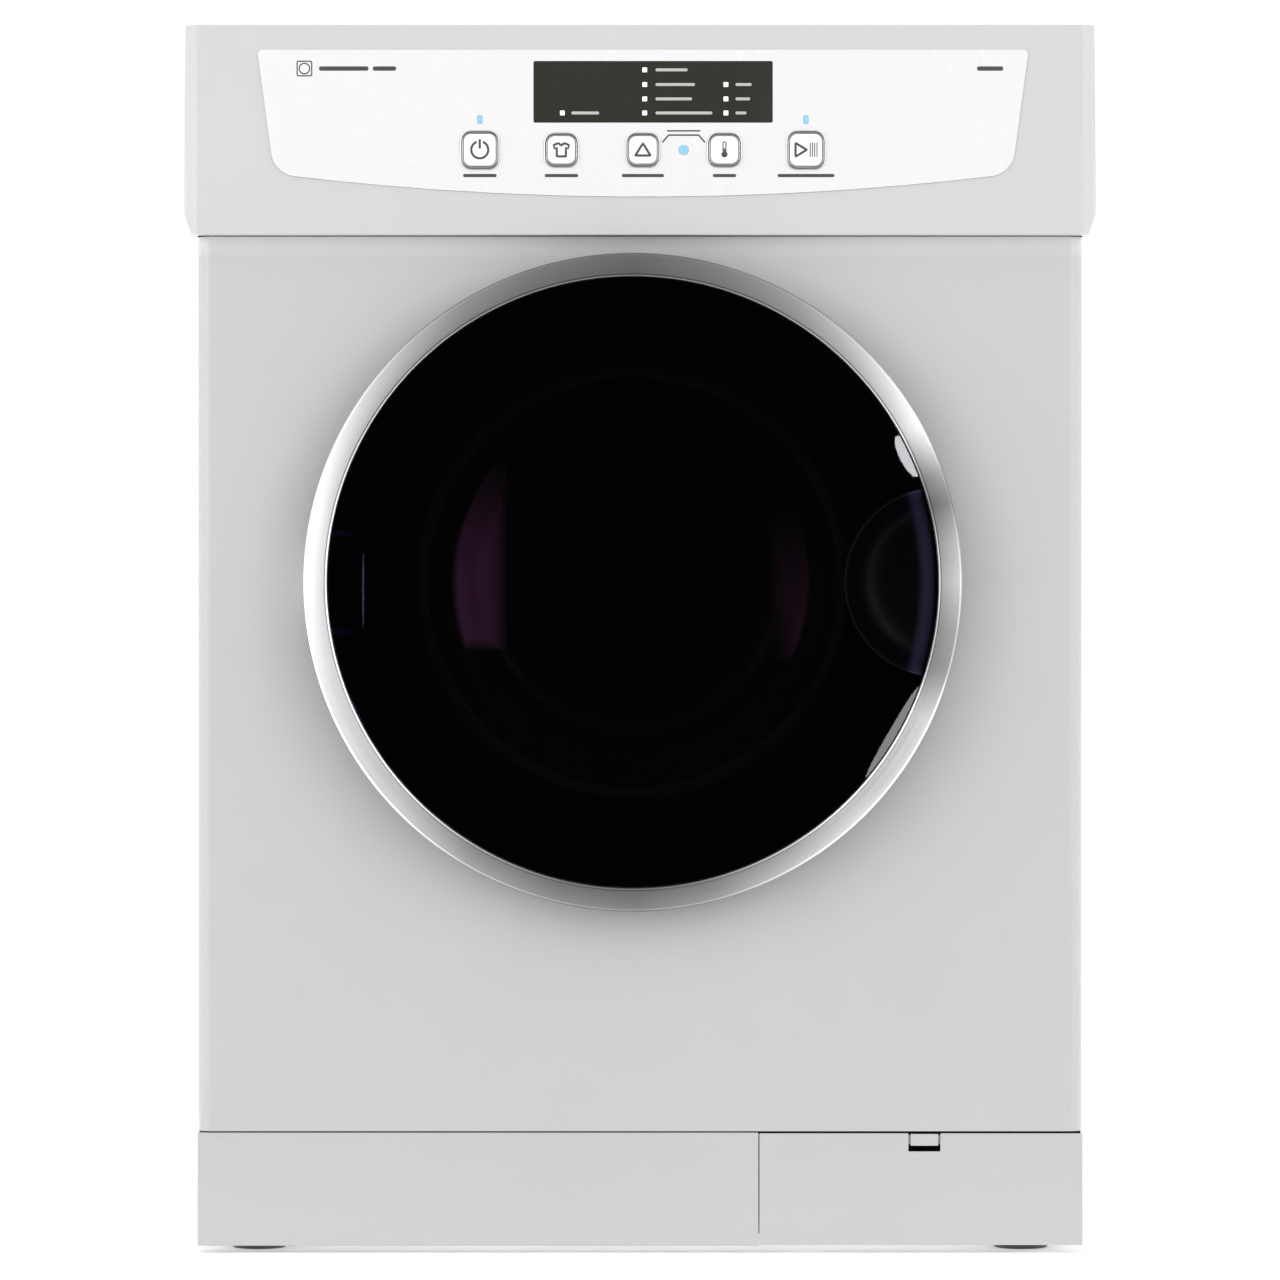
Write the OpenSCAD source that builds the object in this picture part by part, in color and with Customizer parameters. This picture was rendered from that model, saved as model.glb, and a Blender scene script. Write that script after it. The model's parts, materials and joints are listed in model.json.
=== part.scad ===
// Compact vented clothes dryer with a round hinged door, in millimetres.
// +Z is up and the front faces -Y. The origin is on the floor, at the centre of the footprint.

/* [Cabinet] */
// Width across the side panels
body_w = 610; // [604:1:616]
// Height from the floor to the top of the console
body_h = 845; // [840:1:850]
// Depth from the front sheet to the rear sheet
body_d = 510; // [508:1:516]
// Thickness of the steel sheets
sheet_t = 0.8; // [0.7:0.1:1.2]
// Radius of the front sheet's upright edges
edge_r = 10; // [8:1:14]
// Gap under the plinth
floor_gap = 5; // [4:1:8]
// Height of the seam above the plinth
seam_z = 83; // [82:1:86]

/* [Console] */
// Width of the console moulding
console_w = 628; // [624:1:632]
// Height of the console moulding
console_h = 144; // [142:1:148]
// How far the console stands in front of the front sheet
console_proud = 13; // [12:0.5:14]
// Width of the white fascia along its top edge
fascia_w = 530; // [520:1:540]
// Width of the display window
display_w = 164; // [150:1:168]
// Height of the display window
display_h = 42; // [36:1:44]
// Pitch of the push buttons
button_pitch = 56; // [54:1:58]
// Side of the two outer push buttons
button_big = 22; // [20:0.5:23]
// Side of the three inner push buttons
button_small = 19; // [17:0.5:20]
// Travel of a push button
button_travel = 1.5; // [1:0.1:1.5]

/* [Door] */
// Height of the door and drum axis above the floor
axis_z = 462; // [460:1:464]
// Sideways offset of the door and drum axis
axis_x = -5; // [-6:1:-4]
// Outer radius of the bright door ring
ring_r = 225.5; // [224:0.5:226]
// Radius of the dark glass
glass_r = 209; // [207:0.5:210]
// How far the glass stands in front of the front sheet
door_proud = 46; // [44:1:48]
// Radius of the scooped finger recess
grip_r = 64; // [58:1:66]
// Radius of the loading opening
throat_r = 172; // [168:1:174]
// Radius of the inner bowl at its mouth
bowl_r = 138; // [130:1:138]

/* [Drum] */
// Outer radius of the drum
drum_r = 270; // [262:1:272]
// Length of the drum
drum_l = 371; // [365:1:372]
// Height of the three lifters
lifter_h = 42; // [30:1:44]
// Thickness of the drum sheet
drum_t = 0.8; // [0.7:0.1:1.2]
// Radius of the drum shaft
shaft_r = 10; // [8:0.5:12]

/* [Drive and air] */
// Sideways place of the motor axis
motor_x = 170; // [166:1:174]
// Height of the motor axis
motor_z = 108; // [106:1:112]
// Radius of the motor pulley
pulley_r = 9; // [8:0.5:10]
// Radius of the idler pulley
idler_r = 15; // [13:0.5:16]
// Radius of the fan wheel
fan_r = 74; // [68:1:76]
// Outer radius of the exhaust collar, for a 100 mm duct
collar_r = 50; // [48:0.5:50]
// Length of the exhaust collar behind the rear sheet
collar_l = 34; // [30:1:36]

/* [Hidden] */
$fn = 96;

// Clearances
slip = 0.05;
gap = 0.4;

// Thickness of the two bulkheads
bulk_t = 1;

// Places along Y
y_face = -(body_d + door_proud + collar_l) / 2 + door_proud;
y_rear = y_face + body_d;
y_console = y_face - console_proud;
y_drum = y_face + 48;
y_drum_end = y_drum + drum_l;
y_bulk = y_drum_end + 16;
y_duct = y_bulk + bulk_t;
y_fan = y_duct + 27;
y_belt = y_face + 189;

// Places along X and Z
half_w = body_w / 2;
console_z = body_h - console_h;
top_z = body_h - 18;
plinth_split_x = 82;
split_gap = 0.6;
peg_x = [113, 273];
y_peg = y_face + 8.5;
peg_z = 12;
latch_x = 196;
foot_x = 265;
foot_front_y = y_face + 45;
foot_rear_y = y_rear - 35;
pan_z = 12;

// Door sections, as heights in front of the front sheet
door_back_h = 3;
ring_back_h = 28;
ring_front_h = 36;
glass_edge_h = 32;
glass_t = 4;
glass_sag = door_proud - glass_edge_h;
dome_r = (glass_r * glass_r + glass_sag * glass_sag) / (2 * glass_sag);

// Hinge of the door
hinge_x = axis_x - 217;
hinge_h = 21;
hinge_pin_r = 2.5;
hinge_knuckle_r = 4;
hinge_half_z = 31.5;
strike_x = 195;

// Controls on the fascia
button_z = 759;
button_mid_x = 2;
fascia_y = y_console - 1;
fascia_top_z = body_h - 17;
fascia_low_z = body_h - 118;
fascia_arc_r = 2050;
fascia_lean = 7.7;
fascia_top_r = 3.5;
fascia_low_r = 18;
display_x = 9;
display_z = 799;
bezel_w = 2.5;
skirt_y0 = 3.5;
skirt_y1 = 5;

// Idler
idler_x = 60;
idler_z = 140;
pivot_x = 120;
pivot_z = 70;
belt_t = 1.5;
belt_w = 8;

// Fresh-air heater under the loading opening
heater_w = 190;
heater_z = 132;
heater_h = 190;

// ---------- shared shapes ----------

// Box between two corners
module block(a, b) {
  translate(a)
    cube(b - a);
}

// Puts a shape that is drawn upwards on the door axis, pointing forwards from height h
module on_door(h = 0) {
  translate([axis_x, y_face - h, axis_z])
    rotate([90, 0, 0])
      children();
}

// Puts a shape that is drawn upwards at x and z, pointing backwards from y
module backwards(x, y, z) {
  translate([x, y, z])
    rotate([-90, 0, 0])
      children();
}

// Rod or bore along Y from y0 to y1
module rod_y(x, z, y0, y1, r) {
  backwards(x, y0, z)
    cylinder(r = r, h = y1 - y0);
}

// Rod or bore along X from x0 to x1
module rod_x(x0, x1, y, z, r) {
  translate([x0, y, z])
    rotate([0, 90, 0])
      cylinder(r = r, h = x1 - x0);
}

// Tube on the local Z axis
module tube(r_in, r_out, z0, z1) {
  translate([0, 0, z0])
    difference() {
      cylinder(r = r_out, h = z1 - z0);
      translate([0, 0, -1])
        cylinder(r = r_in, h = z1 - z0 + 2);
    }
}

// Flat outline with four round corners, centred
module round_rect(w, h, r) {
  square([w - 2 * r, h], center = true);
  square([w, h - 2 * r], center = true);
  for (sx = [-1, 1], sy = [-1, 1])
    translate([sx * (w / 2 - r), sy * (h / 2 - r)])
      circle(r);
}

// Round-cornered plate that faces the front, from y0 back to y1
module front_plate(x, z, w, h, r, y0, y1) {
  translate([x, y1, z])
    rotate([90, 0, 0])
      linear_extrude(y1 - y0)
        round_rect(w, h, r);
}

// Ring of n windows between two radii, for cutting a flat wall
module ring_windows(r_in, r_out, n, spoke, z0, z1) {
  difference() {
    tube(r_in, r_out, z0, z1);
    for (i = [0:n - 1])
      rotate([0, 0, i * 360 / n])
        translate([0, -spoke / 2, z0 - 1])
          cube([r_out + 1, spoke, z1 - z0 + 2]);
  }
}

// ---------- cabinet ----------

// Tray with foot sockets, ears for the flap's pegs and a notch for the exhaust
module base_pan() {
  wall = 1.5;
  ear_r = 5.2;
  y1 = y_rear - sheet_t - 0.2;
  color("#9a9c9e")
    difference() {
      union() {
        difference() {
          block([-half_w + 2, y_face + 14, pan_z], [half_w - 2, y1, 40]);
          block([-half_w + 2 + wall, y_face + 14 + wall, pan_z + wall],
                [half_w - 2 - wall, y1 - wall, 41]);
        }
        for (x = [-foot_x, foot_x], y = [foot_front_y, foot_rear_y])
          translate([x, y, pan_z])
            cylinder(r = 14, h = 22);
        for (x = peg_x, side = [-1, 1]) {
          rod_x(x + side * 8.5 - 2.5, x + side * 8.5 + 2.5, y_peg, peg_z, ear_r);
          block([x + side * 8.5 - 2.5, y_peg, peg_z - ear_r],
                [x + side * 8.5 + 2.5, y_face + 14.5, peg_z + ear_r]);
        }
      }
      for (x = peg_x)
        rod_x(x - 12, x + 12, y_peg, peg_z, 3 + slip);
      rod_y(0, 76, y1 - 5, y1 + 1, collar_r + 0.5);
      for (x = [-foot_x, foot_x], y = [foot_front_y, foot_rear_y])
        translate([x, y, pan_z - 1])
          cylinder(r = 4 + slip, h = 24);
    }
}

// Levelling foot with its stud
module foot(x, y) {
  color("#2b2c2e")
    translate([x, y, 0]) {
      cylinder(r1 = 18, r2 = 20, h = 3);
      translate([0, 0, 3])
        cylinder(r = 20, h = 4);
      translate([0, 0, 7])
        cylinder(r = 8, h = 3);
      translate([0, 0, 10])
        cylinder(r = 4, h = 30);
    }
}

// Side sheet with a pressed panel and folded edges
module side_panel(side) {
  y0 = y_face + 15.3;
  y1 = y_rear - sheet_t - 0.2;
  press = 3;
  color("#d6d6d4")
    scale([side, 1, 1])
      difference() {
        union() {
          block([half_w - sheet_t, y0, pan_z], [half_w, y1, top_z]);
          block([half_w - 14, y0, top_z - sheet_t], [half_w, y1, top_z]);
          block([half_w - sheet_t - press, y0 + 70, 200], [half_w, y1 - 70, 680]);
        }
        block([half_w - press, y0 + 72, 202], [half_w + 1, y1 - 72, 678]);
      }
}

module side_panel_left() side_panel(-1);

module side_panel_right() side_panel(1);

module rear_panel() {
  y0 = y_rear - sheet_t;
  louvre_n = 9;
  color("#c9cacb")
    difference() {
      union() {
        block([-half_w, y0, pan_z], [half_w, y_rear, top_z]);
        block([-210, y0 - 3, 300], [210, y_rear, 640]);
      }
      block([-208, y_rear - 3, 302], [208, y_rear + 1, 638]);
      rod_y(0, 76, y0 - 1, y_rear + 1, collar_r + 0.5);
      rod_y(-245, 700, y0 - 1, y_rear + 1, 8);
      for (i = [0:louvre_n - 1])
        block([-170, y0 - 1, 180 + i * 11], [-60, y_rear + 1, 183.4 + i * 11]);
    }
}

// Front sheet: a flat face with round upright edges and a folded lower lip
module front_panel() {
  z0 = seam_z + 1;
  z1 = console_z - 0.5;
  lip = 13;
  color("#cfcfce")
    difference() {
      union() {
        intersection() {
          translate([0, 0, z0])
            linear_extrude(z1 - z0)
              difference() {
                front_plan(0);
                front_plan(sheet_t);
              }
          block([-half_w, y_face, z0], [half_w, y_face + 15, z1]);
        }
        block([-half_w + edge_r, y_face + sheet_t / 2, z0],
              [half_w - edge_r, y_face + lip, z0 + sheet_t]);
      }
      on_door(-sheet_t - 1)
        cylinder(r = throat_r + 3.3, h = sheet_t + 2);
      block([axis_x + strike_x - 9, y_face - 1, axis_z - 11],
            [axis_x + strike_x + 9, y_face + sheet_t + 1, axis_z + 11]);
    }
}

// Plan of the front sheet, pulled in by t
module front_plan(t) {
  depth = 60;
  translate([0, y_face + depth / 2])
    round_rect(body_w - 2 * t, depth - 2 * t, edge_r - t);
}

// Worktop: a shallow moulded tray, open underneath
module top_panel() {
  wall = 3;
  y0 = y_face + 12;
  color("#d9d9d7")
    difference() {
      translate([0, 0, top_z])
        linear_extrude(body_h - top_z)
          translate([0, (y0 + y_rear) / 2])
            round_rect(body_w, y_rear - y0, 6);
      block([-half_w + wall, y0 + wall, top_z - 1], [half_w - wall, y_rear - wall, body_h - wall]);
    }
}

// ---------- console ----------

// Front outline of the console
module console_outline() {
  w = console_w / 2;
  polygon([
    [-w + 1.5, body_h], [-w, console_z + 16], [-w + 6, console_z],
    [w - 6, console_z], [w, console_z + 16], [w - 1.5, body_h]
  ]);
}

// Plan of the console, with round front corners
module console_plan() {
  r = 12;
  d = y_face + 45 - y_console;
  translate([-console_w / 2 + r, y_console])
    square([console_w - 2 * r, d]);
  translate([-console_w / 2, y_console + r])
    square([console_w, d - r]);
  for (s = [-1, 1])
    translate([s * (console_w / 2 - r), y_console + r])
      circle(r);
}

module console_housing() {
  wall = 2.5;
  color("#d5d5d4")
    difference() {
      intersection() {
        translate([0, 0, console_z])
          linear_extrude(console_h)
            console_plan();
        translate([0, y_face + 60, 0])
          rotate([90, 0, 0])
            linear_extrude(100)
              console_outline();
      }
      block([-console_w / 2 + 10, y_console + wall, console_z + wall],
            [console_w / 2 - 10, y_face + 1, body_h - wall]);
      block([-half_w - 0.3, y_face - 0.3, console_z - 1],
            [half_w + 0.3, y_face + 50, body_h - wall]);
      block([-half_w - 0.3, y_face + 11.5, console_z - 1],
            [half_w + 0.3, y_face + 50, body_h + 1]);
      translate([0, y_console + 1, 0])
        rotate([90, 0, 0])
          linear_extrude(10)
            fascia_outline(0.1);
      for (i = [0:4])
        front_plate(button_x(i), button_z, hole_side(i), hole_side(i), 7.5,
                    y_console - 2, y_console + 5);
      indicator_places(0.1, y_console - 2, y_console + 5);
    }
}

// Outline of the fascia: a straight top, leaning sides and a shallow arc along the bottom, with
// every corner an arc. grow widens it evenly
module fascia_outline(grow) {
  half = fascia_w / 2;
  // Centre of the bottom arc
  arc_z = fascia_low_z + fascia_arc_r;
  // Centre of a top corner
  crown_z = fascia_top_z - fascia_top_r;
  crown_x = half - fascia_top_r * tan(fascia_lean) - fascia_top_r / cos(fascia_lean);
  // Centre of a bottom corner, which touches the leaning side and the bottom arc
  t = tan(fascia_lean);
  k = half - fascia_top_z * t - fascia_low_r / cos(fascia_lean);
  reach = fascia_arc_r - fascia_low_r;
  a = 1 + t * t;
  b = k * t - arc_z;
  c = k * k + arc_z * arc_z - reach * reach;
  low_z = (-b - sqrt(b * b - a * c)) / a;
  low_x = k + t * low_z;
  meet = atan2(low_z - arc_z, low_x);
  right = concat(
    arc_points(0, arc_z, fascia_arc_r + grow, -90, meet, 16),
    arc_points(low_x, low_z, fascia_low_r + grow, meet, -fascia_lean, 10),
    arc_points(crown_x, crown_z, fascia_top_r + grow, -fascia_lean, 90, 8)
  );
  last = len(right) - 1;
  translate([button_mid_x, 0])
    polygon(concat(right, [for (i = [0:last - 1]) [-right[last - i].x, right[last - i].y]]));
}

// Points along an arc, from angle a0 to a1 in n steps
function arc_points(x, y, r, a0, a1, n) =
  [for (i = [0:n]) [x + r * cos(a0 + (a1 - a0) * i / n), y + r * sin(a0 + (a1 - a0) * i / n)]];

// Button sizes, from left to right
function button_side(i) = (i == 0 || i == 4) ? button_big : button_small;
function hole_side(i) = button_side(i) + 2 * bezel_w + 0.2;
function button_x(i) = button_mid_x + (i - 2) * button_pitch;

// Two slim lamps over the outer buttons and one round lamp between two inner ones
module indicator_places(grow, y0, y1) {
  for (i = [0, 4])
    front_plate(button_x(i), 780, 3.4 + 2 * grow, 6 + 2 * grow, 1.5, y0, y1);
  rod_y(button_mid_x + button_pitch / 2, button_z, y0, y1, 3.4 + grow);
}

module console_fascia() {
  color("#f4f3f3")
    difference() {
      translate([0, y_console + 1, 0])
        rotate([90, 0, 0])
          linear_extrude(2)
            fascia_outline(0);
      front_plate(display_x, display_z, display_w + 0.4, display_h + 0.4, 1.2,
                  fascia_y - 1, y_console + 2);
      for (i = [0:4])
        front_plate(button_x(i), button_z, hole_side(i), hole_side(i), 7.5,
                    fascia_y - 1, y_console + 2);
      indicator_places(0.1, fascia_y - 1, y_console + 2);
    }
}

module display_window() {
  color("#35342f")
    front_plate(display_x, display_z, display_w, display_h, 1, fascia_y + 0.3, y_console + 1);
}

module button_bezels() {
  color("#b9bcbf")
    for (i = [0:4])
      difference() {
        front_plate(button_x(i), button_z, hole_side(i) - 0.2, hole_side(i) - 0.2, 7.4,
                    fascia_y - 1.4, y_console + 2.5);
        front_plate(button_x(i), button_z, button_side(i) + 2 * gap, button_side(i) + 2 * gap, 5.4,
                    fascia_y - 3, y_console + 4);
      }
}

module indicator_lenses() {
  color("#8ecbe8")
    indicator_places(0, fascia_y - 0.3, y_console + 2.5);
}

module control_board() {
  y0 = y_console + 10;
  color("#2f6b46")
    block([-150, y0, 722], [160, y0 + 1.6, 830]);
  color("#2a2a2a")
    for (i = [0:4])
      block([button_x(i) - 3, y_console + skirt_y1 + button_travel, button_z - 3],
            [button_x(i) + 3, y0, button_z + 3]);
  color("#e8e6df")
    block([-60, y0 + 1.6, 735], [-10, y0 + 9, 750]);
}

// Push button with a retaining skirt behind the bezel
module button(i) {
  s = button_side(i);
  color("#fbfbfb") {
    front_plate(button_x(i), button_z, s, s, 5, fascia_y - 2.4, y_console + skirt_y0);
    front_plate(button_x(i), button_z, s + 3, s + 3, 5, y_console + skirt_y0, y_console + skirt_y1);
  }
}

module button_power() button(0);

module button_refresh() button(1);

module button_programs() button(2);

module button_temp() button(3);

module button_start() button(4);

// ---------- plinth ----------

module plinth_panel() {
  wall = 2.5;
  x1 = plinth_split_x - split_gap / 2;
  color("#d0d0cf")
    difference() {
      block([-half_w, y_face, floor_gap], [x1, y_face + 14, seam_z]);
      block([-half_w + wall, y_face + wall, floor_gap - 1], [x1 - wall, y_face + 15, seam_z - wall]);
    }
}

// Hinged flap in the right of the plinth, with two hinge pegs
module service_flap() {
  wall = 2.5;
  x0 = plinth_split_x + split_gap / 2;
  color("#d0d0cf")
    difference() {
      union() {
        block([x0, y_face, floor_gap + 0.5], [half_w, y_face + wall, seam_z - 0.5]);
        block([x0, y_face, 20], [x0 + wall, y_face + 11, seam_z - 3]);
        block([half_w - wall, y_face, 20], [half_w, y_face + 11, seam_z - 3]);
        for (x = peg_x) {
          block([x - 3, y_face + wall - 0.5, peg_z - 4], [x + 3, y_peg, peg_z + 4]);
          rod_x(x - 3, x + 3, y_peg, peg_z, 4);
          rod_x(x - 11, x + 11, y_peg, peg_z, 3);
        }
      }
      block([latch_x - 11, y_face - 1, seam_z - 13], [latch_x + 11, y_face + 4, seam_z + 1]);
    }
}

// Spring tongue that holds the flap shut
module flap_latch() {
  color("#c4c5c5") {
    block([latch_x - 9.5, y_face + 0.3, seam_z - 9], [latch_x + 9.5, y_face + 3, seam_z - 1]);
    block([latch_x - 15, y_face + 2.9, seam_z - 8], [latch_x + 15, y_face + 4.6, seam_z - 2]);
    block([latch_x - 8, y_face + 4.5, seam_z - 7], [latch_x + 8, y_face + 9, seam_z - 5]);
  }
}

// ---------- front structure ----------

module front_bulkhead() {
  color("#b9bbbd")
    difference() {
      union() {
        block([-half_w + 5, y_face + 40, 95], [half_w - 5, y_face + 40 + bulk_t, 800]);
        on_door()
          tube(throat_r, throat_r + 3, -60, -sheet_t - 0.2);
      }
      on_door()
        translate([0, 0, -70])
          cylinder(r = throat_r, h = 60);
      for (x = [-80:20:60])
        block([axis_x + x, y_face + 8, axis_z - throat_r - 10],
              [axis_x + x + 12, y_face + 34, axis_z - 120]);
    }
}

module drum_front_seal() {
  color("#6d6a66")
    on_door()
      tube(throat_r + 3, throat_r + 9, -58, -46);
}

module heater_housing() {
  x0 = axis_x - heater_w / 2;
  color("#a9abad")
    difference() {
      block([x0, y_face + 4, heater_z], [x0 + heater_w, y_face + 38, heater_z + heater_h]);
      block([x0 + 1.2, y_face + 5.2, heater_z - 1],
            [x0 + heater_w - 1.2, y_face + 36.8, heater_z + heater_h + 1]);
      on_door()
        translate([0, 0, -60])
          cylinder(r = throat_r + 3.6, h = 60);
    }
}

// Serpentine heating element: straight runs joined by end bars
module heater_coils() {
  runs = 6;
  pitch = 16;
  x0 = axis_x - heater_w / 2 + 12;
  x1 = axis_x + heater_w / 2 - 12;
  color("#5a5350")
    for (i = [0:runs - 1]) {
      z = heater_z + 18 + i * pitch;
      translate([x0, y_face + 21, z])
        rotate([0, 90, 0])
          cylinder(r = 3.2, h = x1 - x0, $fn = 24);
      if (i < runs - 1)
        translate([i % 2 == 0 ? x1 - 6 : x0 + 6, y_face + 21, z])
          cylinder(r = 2.6, h = pitch, $fn = 24);
    }
}

module thermostats() {
  x = axis_x + heater_w / 2;
  color("#3a3a3c")
    for (z = [heater_z + 40, heater_z + 80])
      translate([x, y_face + 21, z])
        rotate([0, 90, 0]) {
          cylinder(r = 8, h = 6);
          cylinder(r = 4, h = 11);
        }
}

module door_catch() {
  x = axis_x + strike_x;
  color("#e6e6e4")
    difference() {
      block([x - 12, y_face + sheet_t + 0.2, axis_z - 16], [x + 12, y_face + 32, axis_z + 16]);
      block([x - 9, y_face, axis_z - 11], [x + 9, y_face + 28, axis_z + 11]);
    }
}

// Arm on the front sheet that holds the hinge pin behind the ring
module hinge_bracket() {
  color("#aeb2b5")
    union() {
      translate([hinge_x, y_face - hinge_h, axis_z - 19.5])
        cylinder(r = hinge_knuckle_r, h = 39);
      translate([hinge_x, y_face - hinge_h, axis_z - 34])
        cylinder(r = hinge_pin_r, h = 68);
      block([hinge_x - 2, y_face - hinge_h, axis_z - 19.5], [hinge_x + 2, y_face, axis_z + 19.5]);
      block([hinge_x - 4, y_face - 2, axis_z - 28], [hinge_x + 24, y_face, axis_z + 28]);
    }
}

// ---------- rear structure and air path ----------

module rear_bulkhead() {
  color("#b4b6b8")
    difference() {
      union() {
        block([-half_w + 5, y_bulk, 42], [half_w - 5, y_bulk + bulk_t, 800]);
        rod_y(axis_x, axis_z, y_bulk - 6, y_bulk + 18, 28);
      }
      rod_y(axis_x, axis_z, y_bulk - 7, y_bulk + 19, 16);
      backwards(axis_x, y_bulk, axis_z)
        ring_windows(66, 88, 8, 12, -1, 3);
      rod_y(motor_x, motor_z, y_bulk - 1, y_bulk + 3, 12);
    }
}

module drum_bearing() {
  color("#b08a4e")
    backwards(axis_x, y_bulk - 6, axis_z)
      tube(shaft_r + slip, 16, 0, 24);
}

// Duct between the middle of the drum and the fan
module rear_duct() {
  wall = 1.5;
  depth = y_fan - y_duct;
  color("#8f9193")
    difference() {
      backwards(0, y_duct, 0)
        linear_extrude(depth)
          duct_outline(0);
      backwards(0, y_duct - 1, 0)
        linear_extrude(depth - wall + 1)
          duct_outline(wall);
      rod_y(motor_x, motor_z, y_fan - 3, y_fan + 1, 44);
    }
}

module duct_outline(t) {
  hull() {
    translate([axis_x, -axis_z])
      circle(100 - t);
    translate([motor_x, -motor_z])
      circle(66 - t);
  }
}

module blower_housing() {
  wall = 1.5;
  r = fan_r + 10;
  y1 = y_rear - sheet_t - 2;
  color("#7f8284")
    difference() {
      union() {
        rod_y(motor_x, motor_z, y_fan, y1, r);
        block([motor_x - r, y_fan, motor_z - r], [motor_x, y1, motor_z + 2]);
      }
      rod_y(motor_x, motor_z, y_fan + wall, y1 - wall, r - wall);
      block([motor_x - r - 1, y_fan + wall, motor_z - r + wall],
            [motor_x, y1 - wall, motor_z + 2 - wall]);
      rod_y(motor_x, motor_z, y_fan - 1, y_fan + 3, 44);
    }
}

// Square duct from the fan to the round collar that leaves the rear sheet
module exhaust_duct() {
  wall = 1.5;
  y1 = y_rear - sheet_t - 2;
  x1 = motor_x - fan_r - 10;
  color("#8b8e90")
    difference() {
      union() {
        block([-58, y_fan, 20], [x1, y1, 132]);
        rod_y(0, 76, y1 - 1, y_rear + collar_l, collar_r);
        rod_y(0, 76, y_rear, y_rear + 1.5, collar_r + 9);
      }
      block([-58 + wall, y_fan + wall, 20 + wall], [x1 - wall, y1 - wall, 132 - wall]);
      block([x1 - 5, y_fan + wall, 26], [x1 + 1, y1 - wall, 108]);
      rod_y(0, 76, y1 - 3, y_rear + collar_l + 1, collar_r - 1.5);
    }
}

module cord_gland() {
  color("#222324")
    backwards(-245, y_rear - 6, 700)
      difference() {
        union() {
          cylinder(r = 7.9, h = 6);
          translate([0, 0, 6])
            cylinder(r = 12, h = 4);
          translate([0, 0, 10])
            cylinder(r1 = 10, r2 = 8, h = 8);
        }
        translate([0, 0, -1])
          cylinder(r = 4.5, h = 22);
      }
}

module rear_screws() {
  color("#9da0a3")
    for (z = [60, 260, 460, 660, 800], x = [-half_w + 14, half_w - 14])
      difference() {
        rod_y(x, z, y_rear, y_rear + 2.2, 4.5);
        block([x - 3, y_rear + 1.2, z - 0.5], [x + 3, y_rear + 3, z + 0.5]);
        block([x - 0.5, y_rear + 1.2, z - 3], [x + 0.5, y_rear + 3, z + 3]);
      }
}

// ---------- drive ----------

module motor_bracket() {
  y0 = y_belt + 40;
  floor_z = pan_z + 1.5;
  color("#77797b")
    difference() {
      union() {
        block([motor_x - 80, y_belt - 2, floor_z], [motor_x + 70, y0 + 135, floor_z + 3]);
        for (y = [y0 + 8, y0 + 110])
          block([motor_x - 64, y, floor_z + 3], [motor_x + 64, y + 4, motor_z + 4]);
        block([pivot_x - 14, y_belt + 14, floor_z + 3], [pivot_x + 14, y_belt + 18, pivot_z + 14]);
        rod_y(pivot_x, pivot_z, y_belt + 6, y_belt + 14, 5);
      }
      rod_y(motor_x, motor_z, y0 - 60, y0 + 140, 58);
    }
}

module motor_stator() {
  y0 = y_belt + 40;
  color("#6f7376")
    difference() {
      union() {
        rod_y(motor_x, motor_z, y0, y0 + 130, 58);
        rod_y(motor_x, motor_z, y0 - 8, y0 + 138, 20);
      }
      rod_y(motor_x, motor_z, y0 - 10, y0 + 140, 6 + slip);
    }
}

// Motor shaft with the belt pulley turned on its front end
module rotor_shaft() {
  color("#c3c6c9") {
    rod_y(motor_x, motor_z, y_belt - 10, y_fan + 38, 6);
    rod_y(motor_x, motor_z, y_belt - 6, y_belt + 6, pulley_r);
    rod_y(motor_x, motor_z, y_belt - 8, y_belt - 6, pulley_r + 4);
    rod_y(motor_x, motor_z, y_belt + 6, y_belt + 8, pulley_r + 4);
  }
}

// Centrifugal fan wheel
module blower_wheel() {
  blades = 20;
  y0 = y_fan + 5;
  color("#5f6264")
    difference() {
      union() {
        rod_y(motor_x, motor_z, y0 + 26, y0 + 28, fan_r);
        rod_y(motor_x, motor_z, y0 + 4, y0 + 27, 14);
        backwards(motor_x, y0, motor_z)
          tube(fan_r - 6, fan_r, 0, 2);
        for (i = [0:blades - 1])
          translate([motor_x, 0, motor_z])
            rotate([0, i * 360 / blades, 0])
              block([fan_r - 26, y0 + 1, -0.7], [fan_r - 1, y0 + 27, 0.7]);
      }
      rod_y(motor_x, motor_z, y0 - 1, y0 + 30, 6);
    }
}

// Belt round the drum, the motor pulley and the idler
module drive_belt() {
  color("#1f2021")
    backwards(0, y_belt - belt_w / 2, 0)
      linear_extrude(belt_w)
        difference() {
          belt_outline(0.3 + belt_t);
          belt_outline(0.3);
        }
}

module belt_outline(grow) {
  hull() {
    translate([axis_x, -axis_z])
      circle(drum_r + grow, $fn = 180);
    translate([motor_x, -motor_z])
      circle(pulley_r + grow, $fn = 48);
    translate([idler_x, -idler_z])
      circle(idler_r + grow, $fn = 48);
  }
}

// Flat arm with the idler's axle and an ear for the spring
module idler_arm() {
  color("#86898c") {
    backwards(0, y_belt + 8.5, 0)
      linear_extrude(4)
        difference() {
          arm_outline();
          translate([pivot_x, -pivot_z])
            circle(5 + slip);
        }
    rod_y(idler_x, idler_z, y_belt - 8, y_belt + 10, 4);
  }
}

module arm_outline() {
  run = [idler_x - pivot_x, pivot_z - idler_z];
  translate([pivot_x, -pivot_z]) {
    circle(11);
    rotate(atan2(run.y, run.x))
      translate([0, -6])
        square([norm(run), 12]);
  }
  translate([idler_x, -idler_z])
    circle(9);
  translate([idler_x - 28, -idler_z - 3])
    square([24, 6]);
}

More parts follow.
